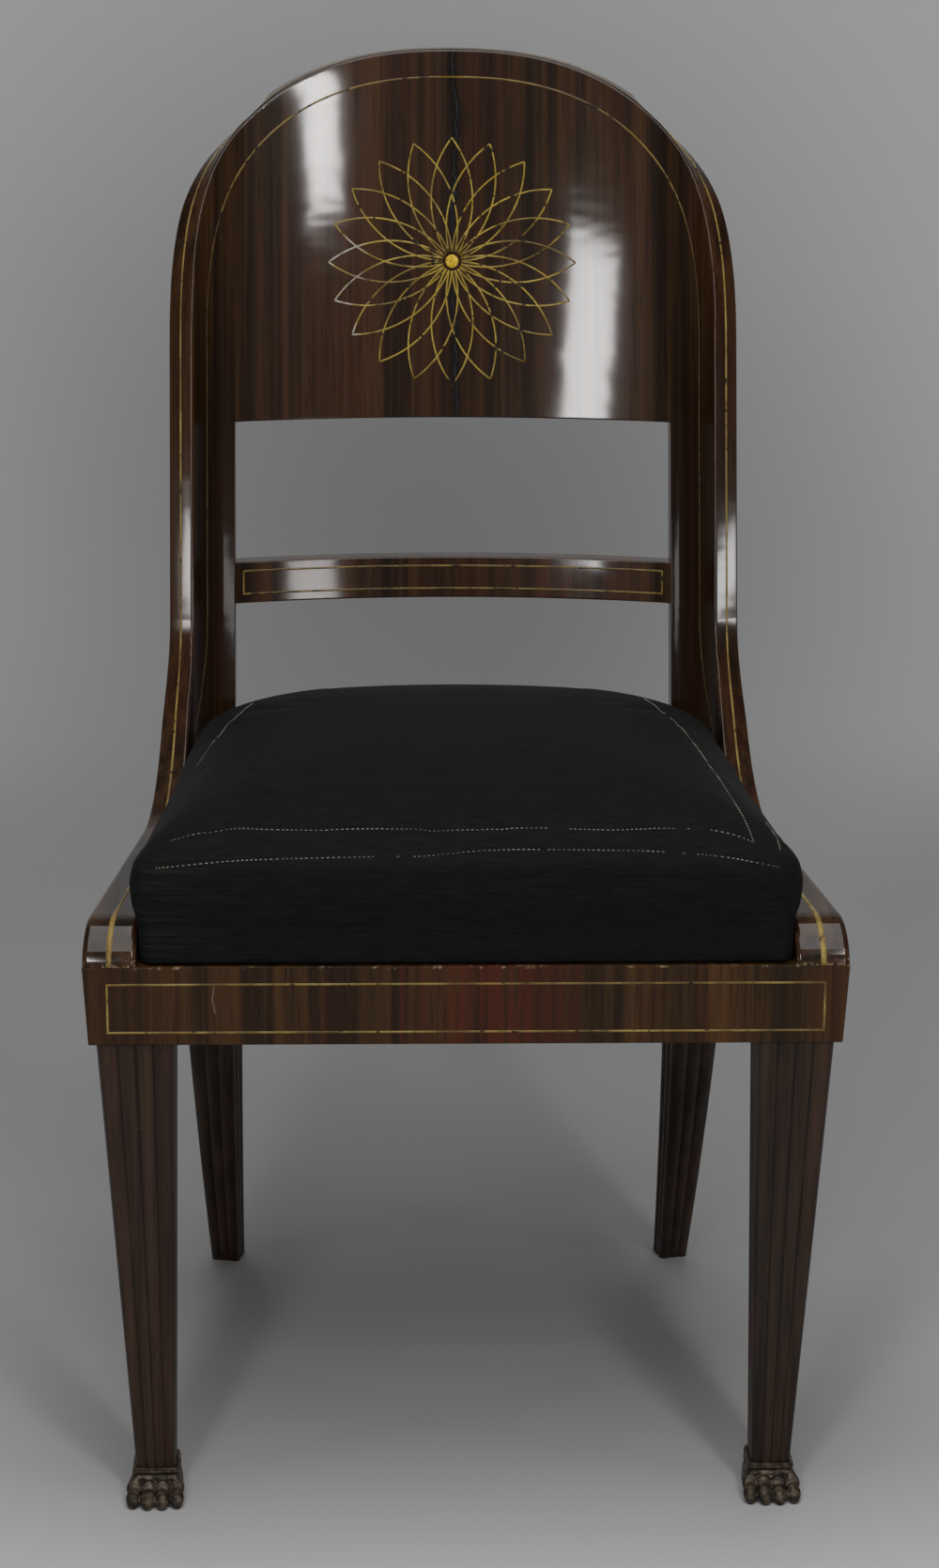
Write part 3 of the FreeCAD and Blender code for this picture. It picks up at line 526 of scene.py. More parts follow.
mid_rail = wall_board("polished_mid_rail", oblong(-joint_u, mid_low, joint_u, mid_high), mid_in,
                      1 - mid_in, radius_on([(mid_low, opening_radius), (mid_high, opening_radius)]))
settle(mid_rail, "frame", "rosewood", "mid_rail", wood("slat_veneer", red_share=0.5, lean=rake))

# Back rail of the seat: the same curve carried down behind the seat, veneered upright like the slat.
# It is a solid curved board, dowelled into the stiles at both ends.
back_rail = wall_board("polished_back_rail", oblong(-joint_u, rail_bottom, joint_u, back_rail_top),
                       radius_at=radius_on([(back_rail_top, opening_radius), (rail_bottom, foot_radius)]))
settle(back_rail, "frame", "rosewood", "back_rail", wood("back_rail_veneer", red_share=0.45, lean=rake))

# Side rails of the seat: they run on from the stiles, spread towards the front and end in a quarter round
# over the front rail. Veneer lies along the arm, with a pale chipped line where it meets the front rail.
rail_back = front_y + 0.030
side_outline = [scarf_foot, (side_u(rail_back, rail_bottom), rail_bottom),
                (side_u(rail_back, rail_top), rail_top)]
side_outline += [p for p in reversed(swept) if p[0] > scarf_top[0] + 0.002] + [scarf_top]


def chipped_foot(place, colour, lift):
    """Pale chips of bare wood just above the joint with the front rail."""
    y, z = axes(place)[1:3]
    low = times(steps_of(z, rail_top + 0.0025, rail_top + 0.0002),
                steps_of(y, rail_back + 0.002, rail_back - 0.002))
    chips = times(low, spots_on(place, 260, 0.62))
    return tint(chips, colour, (0.22, 0.15, 0.085)), sums("SUBTRACT", lift, chips)


both_hands("side_rail", side_outline,
           wood("side_rail_veneer", "Y", brown=(0.068, 0.030, 0.011), change=chipped_foot))

# Front rail of the seat: a straight beech rail, veneered across the grain, so its figure stands upright in
# bands of dark brown, red and orange brown. Its top edge is chipped and one crack shows near the left end.
rail_foot_half = front_half - 0.0031
rail_end_in = 0.0037
rail_radius = 0.0008
crack_x = -0.1606
red_patches = ((0.015, 0.036, (0.090, 0.017, 0.0075), 0.8), (0.060, 0.016, (0.075, 0.017, 0.0075), 0.65),
               (0.160, 0.015, (0.115, 0.046, 0.014), 0.8), (-0.035, 0.012, (0.075, 0.018, 0.008), 0.6),
               (-0.150, 0.010, (0.075, 0.030, 0.011), 0.5))


def band(body, a, b):
    """Faces between two closed rings of vertices."""
    for i in range(len(a)):
        body.faces.new((a[i - 1], a[i], b[i], b[i - 1]))


def wrap(body, rows):
    """Faces between closed rings of vertices, and a cap at each end. It gives the caps."""
    for a, b in zip(rows, rows[1:]):
        band(body, a, b)
    return [body.faces.new(rows[0][::-1]), body.faces.new(rows[-1])]


def banded_veneer(place, colour, lift):
    """Cross-grain bands, red and orange patches, a crack and chips along the top edge."""
    x, y, z = axes(place)
    bands = cloud(place, (42, 1, 0.6), 2, 0.4)
    colour = tint(steps_of(bands, 0.42, 0.64, 0, 0.40), colour, (0.018, 0.0098, 0.0045))
    streaks = steps_of(cloud(place, (210, 1, 5), 3), 0.35, 0.6)
    for centre, half, shade, most in red_patches:
        near = sums("ABSOLUTE", sums("SUBTRACT", x, centre))
        colour = tint(times(steps_of(near, half, half * 0.55, 0, most), streaks), colour, shade)
    wander = steps_of(cloud(place, (1, 1, 90), 3), 0.2, 0.8, -0.0009, 0.0009)
    crack = sums("ABSOLUTE", sums("SUBTRACT", sums("ADD", x, wander), crack_x))
    crack = times(steps_of(crack, 0.0007, 0.0003), steps_of(z, 0.340, 0.343))
    crack = times(crack, steps_of(z, 0.3612, 0.3598))
    colour = tint(crack, colour, (0.16, 0.105, 0.06))
    arris = times(steps_of(z, rail_top - 0.0020, rail_top - 0.0006),
                  steps_of(y, front_y + 0.0030, front_y + 0.0012))
    chips = times(arris, spots_on(place, 150, 0.50))
    return tint(chips, colour, (0.24, 0.17, 0.095)), sums("SUBTRACT", lift, sums("ADD", chips, crack))


rail_block = bmesh.new()
rail_rings = []
for half, z in ((rail_foot_half, rail_bottom), (front_half, rail_top)):
    back_half = half - rail_end_in
    rail_rings.append([rail_block.verts.new((x, y, z)) for x, y in (
        (-half, front_y), (half, front_y), (back_half, rail_back), (-back_half, rail_back))])
wrap(rail_block, rail_rings)
bmesh.ops.recalc_face_normals(rail_block, faces=rail_block.faces[:])
bmesh.ops.bevel(rail_block, geom=rail_block.edges[:], offset=rail_radius, segments=3, profile=0.5,
                affect="EDGES")
front_rail = new_piece("polished_front_rail", rail_block, smooth=True, broad=True)
settle(front_rail, "frame", "rosewood", "front_rail",
       wood("front_rail_veneer", dark=(0.021, 0.0102, 0.0042), brown=(0.074, 0.034, 0.0100), red_share=0.25,
            gloss=0.03, coat=0.22, coat_rough=0.12, change=banded_veneer))

# Front legs: square, tapered and cut with four shallow reeds on each side. Solid rosewood with a satin
# finish, tenoned into the front rail above and stepped into the bronze feet below.
leg_top_x = 0.2113
leg_foot_x = 0.2038
leg_top_w = 0.050
leg_foot_w = 0.026
leg_end = 0.022
leg_top_y = front_y + 0.002 + leg_top_w / 2
leg_foot_y = front_y + 0.008 + leg_foot_w / 2
reed_flats = 8
reed_bulge = 0.16


def reeded_ring(cx, cy, z, w, reeds, turn=0):
    """Square section whose sides are rows of convex reeds."""
    bulge = reed_bulge * w / reeds
    h = w / 2 - bulge
    corners = oblong(-h, -h, h, h)
    spin = Matrix.Rotation(math.radians(turn), 2)
    ring = []
    for i in range(4):
        a = Vector(corners[i])
        b = Vector(corners[(i + 1) % 4])
        out = Vector((b.y - a.y, a.x - b.x)).normalized()
        for k in range(reeds * reed_flats):
            t = (k % reed_flats) / reed_flats
            p = spin @ (blend(a, b, k / (reeds * reed_flats)) + out * (4 * bulge * t * (1 - t)))
            ring.append((cx + p.x, cy + p.y, z))
    return ring


def loft(name, rings, crease=0):
    """Closed mesh through rings of points. Every crease-th line along it stays sharp."""
    body = bmesh.new()
    rows = [[body.verts.new(p) for p in ring] for ring in rings]
    n = len(rows[0])
    caps = wrap(body, rows)
    bmesh.ops.recalc_face_normals(body, faces=body.faces[:])
    for f in body.faces:
        f.smooth = f not in caps
    if crease:
        for a, b in zip(rows, rows[1:]):
            for i in range(0, n, crease):
                body.edges.get((a[i], b[i])).smooth = False
    for e in caps[0].edges[:] + caps[1].edges[:]:
        e.smooth = False
    piece = new_piece(name, body, broad=True)
    # This attribute marks the groove lines, which take painted shade on the legs.
    if crease:
        groove_shade = piece.data.attributes.new("groove_shade", "FLOAT", "POINT")
        for i in range(0, len(piece.data.vertices), crease):
            groove_shade.data[i].value = 1
    return piece


def chipped_reeds(place, colour, lift):
    """Painted shade in the grooves between the reeds, rubbed crowns and a few small chips."""
    groove_shade = add("Attribute", {}, place.id_data, attribute_name="groove_shade")["Fac"]
    # Painted shade: the grooves between the reeds are darkened.
    colour = tint(times(groove_shade, 0.85), colour, (0.006, 0.0035, 0.002))
    worn = steps_of(cloud(place, (60, 60, 7), 4), 0.5, 0.75, 0, 0.5)
    colour = tint(worn, colour, (0.075, 0.036, 0.019))
    chips = spots_on(place, 120, 0.16)
    return tint(chips, colour, (0.16, 0.10, 0.06)), sums("SUBTRACT", lift, chips)


leg_wood = wood("leg_rosewood", red_share=0.25, brown=(0.042, 0.024, 0.0125), rough=(0.36, 0.52),
                gloss=0.22, coat=0.12, coat_rough=0.25, change=chipped_reeds)


def leg_pair(kind, node, rings):
    """The right leg through its rings, and the left one mirrored."""
    for side, hand in ((1, "_right"), (-1, "_left")):
        turned = [[(side * x, y, z) for x, y, z in ring] for ring in rings]
        settle(loft(kind + node + hand, turned, reed_flats), "frame", "rosewood", node + hand, leg_wood)


leg_pair("reeded_", "front_leg", [
    reeded_ring(blend(leg_foot_x, leg_top_x, s), blend(leg_foot_y, leg_top_y, s),
                blend(leg_end, rail_bottom, s), blend(leg_foot_w, leg_top_w, s), 4)
    for s in (i / 8 for i in range(9))])

# Rear legs: sabre legs of the same wood, three reeds on each side, turned a little outwards and sweeping
# back to the floor. They are tenoned up into the foot of the stiles.
rear_x = corner_x + 0.04246
rear_y = corner_y / lean_c + 0.0357
rear_turn_in = 0.006
rear_sweep = 0.090
rear_top_w = 0.042
rear_taper = 0.020
rear_turn = 13
leg_pair("sabre_", "rear_leg", [
    reeded_ring(rear_x - rear_turn_in * s, rear_y + rear_sweep * s ** 1.7, rail_bottom * (1 - s),
                rear_top_w - rear_taper * s, 3, rear_turn)
    for s in (1 - i / 24 for i in range(25))])

# Paw feet: cast bronze lion paws with four knuckled toes under a beaded collar. They are hollow above, to
# take the spigot of the leg, and the brown patina is rubbed on the knuckles and beads.
paw_w = 0.037
toe_front = front_y - 0.012
paw_back = leg_foot_y + 0.017
toe_l = 0.027
toe_r = 0.0049
toe_edge = toe_r * 0.98
paw_rows = ((0, 0.86, 0.42), (0.003, 0.94, 0.38), (0.008, 0.93, 0.46), (0.012, 0.89, 0.58),
            (0.015, 0.84, 0.67))
collar_rows = ((0.0125, 0.0292), (0.0140, 0.0310), (0.0150, 0.0316), (0.0160, 0.0306), (0.0166, 0.0288),
               (0.0178, 0.0288), (0.0184, 0.0304), (0.0194, 0.0314), (0.0203, 0.0304), (0.0207, 0.0294),
               (0.0212, 0.0302), (0.0217, 0.0304), (leg_end, 0.0296))
toe_rows = ((0.92, 2.10, 0.80, 0.10), (0.64, 2.10, 0.92, 0.25), (0.44, 1.98, 1.13, 0.45),
            (0.29, 1.62, 0.86, 0.70), (0.175, 1.22, 1.10, 0.60), (0.08, 0.95, 0.92, 0.45),
            (0.02, 0.72, 0.62, 0.30), (-0.015, 0.45, 0.34, 0.20))


def turns(count):
    """Angles once round in even steps."""
    return [2 * math.pi * i / count for i in range(count)]


def rounded_ring(cy, z, wx, wy, power):
    """Squarish ring above the foot of the right leg."""
    ring = []
    for a in turns(40):
        c = math.cos(a)
        s = math.sin(a)
        ring.append((leg_foot_x + wx / 2 * math.copysign(abs(c) ** (2 / power), c),
                     cy + wy / 2 * math.copysign(abs(s) ** (2 / power), s), z))
    return ring


def cast(name, shells, voxel, passes):
    """Several closed shells run together into one cast skin."""
    rough = bmesh.new()
    for rings in shells:
        wrap(rough, [[rough.verts.new(p) for p in ring] for ring in rings])
    bmesh.ops.recalc_face_normals(rough, faces=rough.faces[:])
    piece = new_piece(name + "_rough", rough)
    skin = piece.modifiers.new("skin", "REMESH")
    skin.mode = "VOXEL"
    skin.voxel_size = voxel
    smooth = piece.modifiers.new("smooth", "SMOOTH")
    smooth.factor = 0.5
    smooth.iterations = passes
    made = bpy.data.meshes.new_from_object(piece.evaluated_get(bpy.context.evaluated_depsgraph_get()))
    bpy.data.objects.remove(piece)
    made.name = name
    made.shade_smooth()
    return made


def toe(x, y):
    """Rings of one toe, from its root to its tip."""
    rings = []
    for a, b, c, tilt in toe_rows:
        cx = leg_foot_x + (x - leg_foot_x) * (1 + 0.05 * (1 - a))
        r = toe_r * c
        rings.append([(cx + r * 0.93 * math.cos(t), y + toe_l * a + r * math.sin(t) * math.sin(tilt),
                       max(0.0003, toe_r * b + r * math.sin(t) * math.cos(tilt))) for t in turns(20)])
    return rings


paw_body = []
for z, w, front in paw_rows:
    y0 = toe_front + toe_l * front
    paw_body.append(rounded_ring((y0 + paw_back) / 2, z, paw_w * w, paw_back - y0, 3.2))
paw_shells = [paw_body, [rounded_ring(leg_foot_y, z, w, w, 9) for z, w in collar_rows]]
for i, set_back in enumerate((0.0026, 0.0008, 0.0008, 0.0026)):
    x = leg_foot_x - paw_w / 2 + toe_edge + i * (paw_w - 2 * toe_edge) / 3
    paw_shells.append(toe(x, toe_front + set_back))
bronze, bronze_shader, bronze_at = new_material("paw_bronze")
stain = steps_of(cloud(bronze_at, 160, 5), 0.35, 0.7)
bronze_colour = tint(stain, (0.020, 0.014, 0.010), (0.052, 0.036, 0.023))
bronze_colour = tint(times(spots_on(bronze_at, 240, 0.72), 0.6), bronze_colour, (0.13, 0.095, 0.060))
feed(bronze_shader, {"Base Color": bronze_colour, "Roughness": steps_of(stain, 0, 1, 0.55, 0.36),
                     "Metallic": 0.55, "Normal": bump(cloud(bronze_at, 900), 0.4, 0.0004)})
paw_mesh = cast("lion_paw", paw_shells, 0.0005, 2)
for hand in ("right", "left"):
    mesh = paw_mesh.copy()
    if hand == "left":
        mesh.transform(Matrix.Scale(-1, 4, (1, 0, 0)))
        mesh.flip_normals()
    settle(new_piece("cast_paw_foot_" + hand, mesh), "frame", "bronze", "paw_foot_" + hand, bronze)

# Stringing: thin lines of pale yellow wood let into the veneer. One runs along the middle of the swept edge,
# one follows it on the inner face, and borders frame the middle rail and the front rail.
string_half = 0.00075
string_section = ((-1, -0.0004), (-0.9, 0.00012), (0, 0.00018), (0.9, 0.00012), (1, -0.0004))
face_inset = 0.020
border_inset = 0.0065


def ribbon(name, lines, half_at, place, closed=False):
    """Thin domed strips along lines of points on a surface. place(a, b, lift) gives the point in space."""
    strip = bmesh.new()
    for line in lines:
        n = len(line)
        rows = []
        for i, (a, b) in enumerate(line):
            before = line[i - 1] if i or closed else line[i]
            after = line[(i + 1) % n] if i < n - 1 or closed else line[i]
            d_in = Vector((a - before[0], b - before[1]))
            d_out = Vector((after[0] - a, after[1] - b))
            d_in = d_in.normalized() if d_in.length > 1e-9 else d_out.normalized()
            d_out = d_out.normalized() if d_out.length > 1e-9 else d_in
            mid = (d_in + d_out).normalized()
            across = Vector((-mid.y, mid.x)) / max(0.5, mid.dot(d_in)) * half_at(a)
            rows.append([strip.verts.new(place(a + across.x * s, b + across.y * s, lift))
                         for s, lift in string_section])
        for p, q in zip(rows, rows[1:] + (rows[:1] if closed else [])):
            for k in range(len(p) - 1):
                strip.faces.new((p[k], p[k + 1], q[k + 1], q[k]))
        if not closed:
            strip.faces.new(rows[0])
            strip.faces.new(rows[-1][::-1])
    bmesh.ops.recalc_face_normals(strip, faces=strip.faces[:])
    return new_piece(name, strip, smooth=True)


def string_wood(name, gold, pale, worn, dulled=0.75, change=None):
    """Yellow inlay wood with short grain, darkened by polish, and lost in places."""
    mat, shader, at = new_material(name)
    lost = spots_on(at, 150, worn)
    colour = tint(steps_of(cloud(at, 60), 0.3, 0.7), gold, pale)
    colour = tint(steps_of(cloud(at, 28, 3), 0.42, 0.66, 0, dulled), colour, (0.075, 0.040, 0.014))
    colour = tint(steps_of(cloud(at, 500, 3), 0.5, 0.75, 0, 0.6), colour, (0.05, 0.028, 0.010))
    colour = tint(lost, colour, (0.018, 0.010, 0.006))
    if change:
        colour = change(at, colour)
    feed(shader, {"Base Color": colour, "Roughness": steps_of(lost, 0, 1, 0.30, 0.45),
                  "Specular IOR Level": 0.15, "Coat Weight": 0.15, "Coat Roughness": 0.1,
                  "Normal": bump(lost, 0.2, 0.0002)})
    return mat


def dull_below(at, colour):
    """The string is darker where it runs down the stiles, from z 0.84 down to 0.74."""
    return tint(steps_of(axes(at)[2], 0.84, 0.74, 0, 0.8), colour, (0.030, 0.020, 0.008))


string_gold = string_wood("string_gold", (0.27, 0.165, 0.035), (0.40, 0.29, 0.080), 0.44)
string_dull = string_wood("string_dull", (0.150, 0.090, 0.016), (0.27, 0.18, 0.045), 0.54)
string_face = string_wood("string_face", (0.170, 0.105, 0.018), (0.30, 0.20, 0.050), 0.54, change=dull_below)
edge_run = [0]
for (ua, za), (ub, zb) in zip(swept, swept[1:]):
    edge_run.append(edge_run[-1] + math.hypot(ub - ua, zb - za))


def string_width(at):
    return string_half


def edge_string_half(along):
    """The string of the edge widens where it runs down the quarter-round front of the arm."""
    return string_half * (1 + 0.45 * clamp((along - edge_run[-1] + 0.055) / 0.02)) / wall_t


def edge_way(first, last):
    """Direction of the swept edge between two of its points."""
    return (Vector(swept[min(last, len(swept) - 1)]) - Vector(swept[max(first, 0)])).normalized()


def edge_place(side):
    def place(along, w, lift):
        i = max(k for k in range(len(edge_run) - 1) if edge_run[k] <= along + 1e-9)
        t = (along - edge_run[i]) / (edge_run[i + 1] - edge_run[i])
        d = edge_way(i - 1, i + 2)
        p = Vector(swept[i]).lerp(Vector(swept[i + 1]), t) + Vector((-d.y, d.x)) * lift
        return wall_point(side * max(p.x, 1e-6), p.y, w)
    return place


def face_place(side, w=0):
    return lambda u, z, lift: wall_point(side * u, z, w - lift / wall_t)


face_line = [(0, height - face_inset)]
for i, (u, z) in enumerate(swept):
    d = edge_way(i - 1, i + 1)
    u += d.y * face_inset
    z -= d.x * face_inset
    if z > 0.430 and 0.004 < u < 0.28:
        face_line.append((u, z))
edge_line = [(s, 0.5) for s in edge_run[:-1]] + [(edge_run[-1] - 1e-5, 0.5)]
for side, hand in ((1, "right"), (-1, "left")):
    edge_string = ribbon("inlaid_edge_string_" + hand, [edge_line], edge_string_half, edge_place(side))
    face_string = ribbon("inlaid_face_string_" + hand, [face_line], string_width, face_place(side))
    settle(edge_string, "frame", "stringing", "edge_string_" + hand, string_gold)
    settle(face_string, "frame", "stringing", "face_string_" + hand, string_face)


def frame_line(half, low, high, steps):
    """Rectangle of points, for a border."""
    points = []
    corners = oblong(-half, low, half, high)
    for i in range(4):
        n = steps if i % 2 == 0 else 3
        points += [tuple(Vector(corners[i]).lerp(Vector(corners[(i + 1) % 4]), k / n)) for k in range(n)]
    return points


mid_line = frame_line(joint_u - border_inset, mid_low + border_inset, mid_high - border_inset, 60)
mid_string = ribbon("inlaid_mid_string", [mid_line], string_width, face_place(1, mid_in), True)
settle(mid_string, "frame", "stringing", "mid_string", string_dull)
front_line = frame_line(0.228, rail_bottom + 0.0085, rail_top - 0.0115, 40)
front_string = ribbon("inlaid_front_string", [front_line], string_width,
                      lambda x, z, lift: Vector((x, front_y - lift, z)), True)
settle(front_string, "frame", "stringing", "front_string", string_gold)

# Star of the crest: twenty pointed petals of inlaid yellow line, each of two arcs from the centre to its
# tip, crossing one another round a small yellow disc. The line is worn, with white filler at its left tips.
star_z = 0.763
star_r = 0.091
petal_count = 20
petal_half = 0.168
petal_line_half = 0.00065
disc_r = 0.0048
disc_rows = ((disc_r, -0.0006), (disc_r, 0.0002), (0.0040, 0.0005), (0.0020, 0.00065), (0.0004, 0.0007))


def pale_tips(at, colour):
    """White filler where the left tips of the star have lost their polish."""
    filler = times(steps_of(axes(at)[0], -0.058, -0.078), steps_of(cloud(at, 45, 2), 0.46, 0.58))
    return tint(filler, colour, (0.50, 0.47, 0.42))


petals = []
sag = petal_half * star_r
arc_r = ((star_r / 2) ** 2 + sag ** 2) / (2 * sag)
reach = math.asin(star_r / 2 / arc_r)
for k in range(petal_count):
    turn = Matrix.Rotation(math.radians(360 / petal_count * k), 2)
    for hand in (1, -1):
        line = []
        for i in range(29):
            a = -reach + 2 * reach * i / 28
            p = Vector((hand * (arc_r * math.cos(a) - arc_r + sag), star_r / 2 + arc_r * math.sin(a)))
            p = turn @ p
            if p.length > disc_r * 0.92:
                line.append((p.x, star_z + p.y * lean_c))
        petals.append(line)
star = ribbon("inlaid_star_petals", petals, lambda at: petal_line_half, face_place(1))
settle(star, "frame", "stringing", None,
       string_wood("star_gold", (0.38, 0.245, 0.026), (0.50, 0.36, 0.065), 0.52, change=pale_tips))
on_crest = face_place(1)
star_disc = loft("inlaid_star_disc", [[on_crest(r * math.cos(a), star_z + r * math.sin(a), lift)
                                       for a in turns(36)] for r, lift in disc_rows])
settle(star_disc, "frame", "stringing", "star_disc",
       string_wood("disc_yellow", (0.66, 0.42, 0.022), (0.74, 0.52, 0.045), 0, 0))

# Inside of the frame: corner blocks, ledgers, dowels and the tongue of the crest, all plain planed beech.
# The bars of the drop-in seat are of the same wood. They keep their worked shapes and take a beech finish.
beech_figure, beech_in, beech_out = new_group("beech_figure", {"Vector": "Vector"},
                                              {"Color": "Color", "Height": "Float"})
flecks = steps_of(cloud(beech_in[0], (220, 220, 40), 3), 0.56, 0.66)
growth = cloud(beech_in[0], (26, 26, 3), 5, 0.6)
beech_colour = tint(steps_of(growth, 0.3, 0.7), (0.30, 0.19, 0.105), (0.44, 0.30, 0.175))
feed(beech_out, {"Color": tint(times(flecks, 0.5), beech_colour, (0.20, 0.115, 0.06)),
                 "Height": sums("ADD", growth, flecks)})


def beech(name, grain):
    """Planed beech, its grain along one of the axes."""
    mat, shader, place = new_material(name)
    parts = axes(place)
    order = {"X": (2, 1, 0), "Y": (0, 2, 1), "Z": (0, 1, 2)}[grain]
    along = add("CombineXYZ", {i: parts[k] for i, k in enumerate(order)})[0]
    look = add("Group", {"Vector": along}, node_tree=beech_figure)
    dirt = spots_on(along, 45, 0.45)
    feed(shader, {"Base Color": tint(times(dirt, 0.5), look["Color"], (0.10, 0.065, 0.04)),
                  "Roughness": steps_of(dirt, 0, 1, 0.62, 0.8),
                  "Normal": bump(look["Height"], 0.3, 0.0004)})
    return mat


for finish, nodes in (
        (beech("beech_across", "X"), "front_block_left front_block_right rear_block_left rear_block_right"
                                     " back_dowels slip_front slip_back"),
        (beech("beech_back", "Y"), "ledger_left ledger_right seat_dowels slip_side_left slip_side_right"
                                   " slip_dowels"),
        (beech("beech_up", "Z"), "crest_tongue")):
    for node in nodes.split():
        cad[node].data.materials.clear()
        cad[node].data.materials.append(finish)

# Webbing of the drop-in seat: three jute straps each way, tacked on top of the beech bars.
# They are plain woven and drawn tight from bar to bar.
slip_z = rail_top + 0.0003
strap_half = 0.025
strap_pitch = 0.092
strap_t = 0.0012
cross_in = 0.0118


def bow_points(a, b, c, count):
    """Points on a shallow bow from a through b to c, without c itself."""
    pull = 2 * b - (a + c) / 2
    shares = [i / count for i in range(count)]
    return [a * (1 - t) ** 2 + pull * (2 * t * (1 - t)) + c * t ** 2 for t in shares]


def side_x(y):
    x0, y0 = square_plan(2, 0)
    return blend(x0, front_half - side_front_t, (y - y0 / lean_c) / (front_y - y0 / lean_c))


def seat_ring(z, inset, front_set, swell, corner, bow=0):
    """Outline of the seat inside the rails, seen from above at the height z."""
    shift = rake * (z - rail_top) * 0.9
    r = corner_radius - inset
    yf = front_y + front_set
    fx = side_x(yf) - inset + swell
    k = corner * (1 - math.sqrt(0.5))

    def on_corner(a, share):
        return Vector((corner_x + r * math.sin(a), (corner_y + r * math.cos(a)) / lean_c + shift * share))

    turn = on_corner(turn_in, 0.5)
    half = [Vector((fx - corner, yf)), Vector((fx - k, yf + k)), Vector((fx, yf + corner)),
            Vector(((fx + turn.x) / 2 - swell * 0.1, (yf + corner + turn.y) / 2)), turn,
            on_corner((turn_in + back_angle) / 2, 0.8), on_corner(back_angle, 1)]
    around = half + [Vector((0, back_y - inset + shift))] + [Vector((-p.x, p.y)) for p in reversed(half)]
    around += [Vector((0, yf - bow)), half[0]]
    ring = []
    for i, count in zip(range(0, len(around) - 2, 2), (6, 20, 8, 20, 8, 20, 6, 24)):
        ring += bow_points(around[i], around[i + 1], around[i + 2], count)
    return ring


def flat_cloth(name, ring, z, thick, step, ripple):
    """Cloth laid flat: a net of small faces cut to an outline, a little uneven, with a real thickness."""
    net = bmesh.new()
    net.faces.new([net.verts.new((p[0], p[1], z)) for p in ring])
    slice_up(net, ring, 0, step, 1)
    slice_up(net, ring, 1, step, 1)
    for v in net.verts:
        v.co.z += ripple * math.sin(v.co.x * 61 + 1.3) * math.sin(v.co.y * 47)
    area = sum(f.calc_area() for f in net.faces)
    piece = new_piece(name, net, smooth=True)
    thicken(piece, thick, 0)
    return piece, area


def thicken(piece, thick, offset):
    body = piece.modifiers.new("thickness", "SOLIDIFY")
    body.thickness = thick
    body.offset = offset


# Plain weave: two sets of threads at right angles, uneven in thickness.
weave, weave_in, weave_out = new_group(
    "plain_weave", {"Vector": "Vector", "Across": "Float", "Along": "Float"},
    {"Height": "Float", "Shade": "Float"})
thread_x, thread_y, thread_z = axes(weave_in["Vector"])
uneven = times(cloud(weave_in["Vector"], 90, 3), 3)
warp = sums("SINE", sums("ADD", times(thread_x, weave_in["Across"]), uneven))
weft = sums("SINE", sums("ADD", times(sums("ADD", thread_y, thread_z), weave_in["Along"]), uneven))
slubs = cloud(weave_in["Vector"], (60, 700, 700), 3)
feed(weave_out, {"Height": times(sums("ADD", warp, weft), 0.25),
                 "Shade": sums("ADD", times(times(warp, weft), 0.2), slubs)})


def woven(at, across, along):
    return add("Group", {"Vector": at, "Across": across, "Along": along}, node_tree=weave)


def jute(name, dark, light, threads):
    """Coarse jute cloth in the given colours."""
    mat, shader, at = new_material(name)
    cloth = woven(at, threads, threads)
    feed(shader, {"Base Color": tint(steps_of(cloth["Shade"], 0.3, 0.75), dark, light),
                  "Roughness": steps_of(cloth["Height"], -0.5, 0.5, 0.95, 0.8),
                  "Normal": bump(cloth["Height"], 0.6, 0.0006)})
    return mat


webbing_jute = jute("webbing_jute", (0.15, 0.10, 0.055), (0.33, 0.25, 0.155), 3600)
for kind in ("long", "cross"):
    low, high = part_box("webbing_" + kind)
    z = (low.z + high.z) / 2
    for i in (-1, 0, 1):
        if kind == "long":
            at = i * strap_pitch
            reach_low, reach_high = low.y, high.y
            ring = oblong(at - strap_half, reach_low, at + strap_half, reach_high)
        else:
            at = front_y + seat_depth / 2 + i * strap_pitch
            reach_high = side_x(at) - cross_in
            if at > 0:
                reach_high = min(reach_high, high.x)
            reach_low = -reach_high
            ring = oblong(reach_low, at - strap_half, reach_high, at + strap_half)
        strap = flat_cloth("webbing_%s_%d" % (kind, i + 2), ring, z, strap_t, 0.012, 0)[0]
        settle(strap, "slip_seat", "webbing", "webbing_" + kind, webbing_jute)

# Hessian: one piece of coarse jute cloth over the webbing, under the stuffing.
# It is stretched by hand and tacked round the beech bars.
hessian_low, hessian_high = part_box("hessian")
hessian_ring = seat_ring(hessian_low.z, 0.0064, 0.0084, 0, 0.009)
hessian, hessian_area = flat_cloth("hessian_cloth", hessian_ring, (hessian_low.z + hessian_high.z) / 2,
                                   0.0008, 0.014, 0.00008)
settle(hessian, "slip_seat", "hessian", "hessian",
       jute("hessian_jute", (0.19, 0.13, 0.07), (0.40, 0.31, 0.19), 2600))

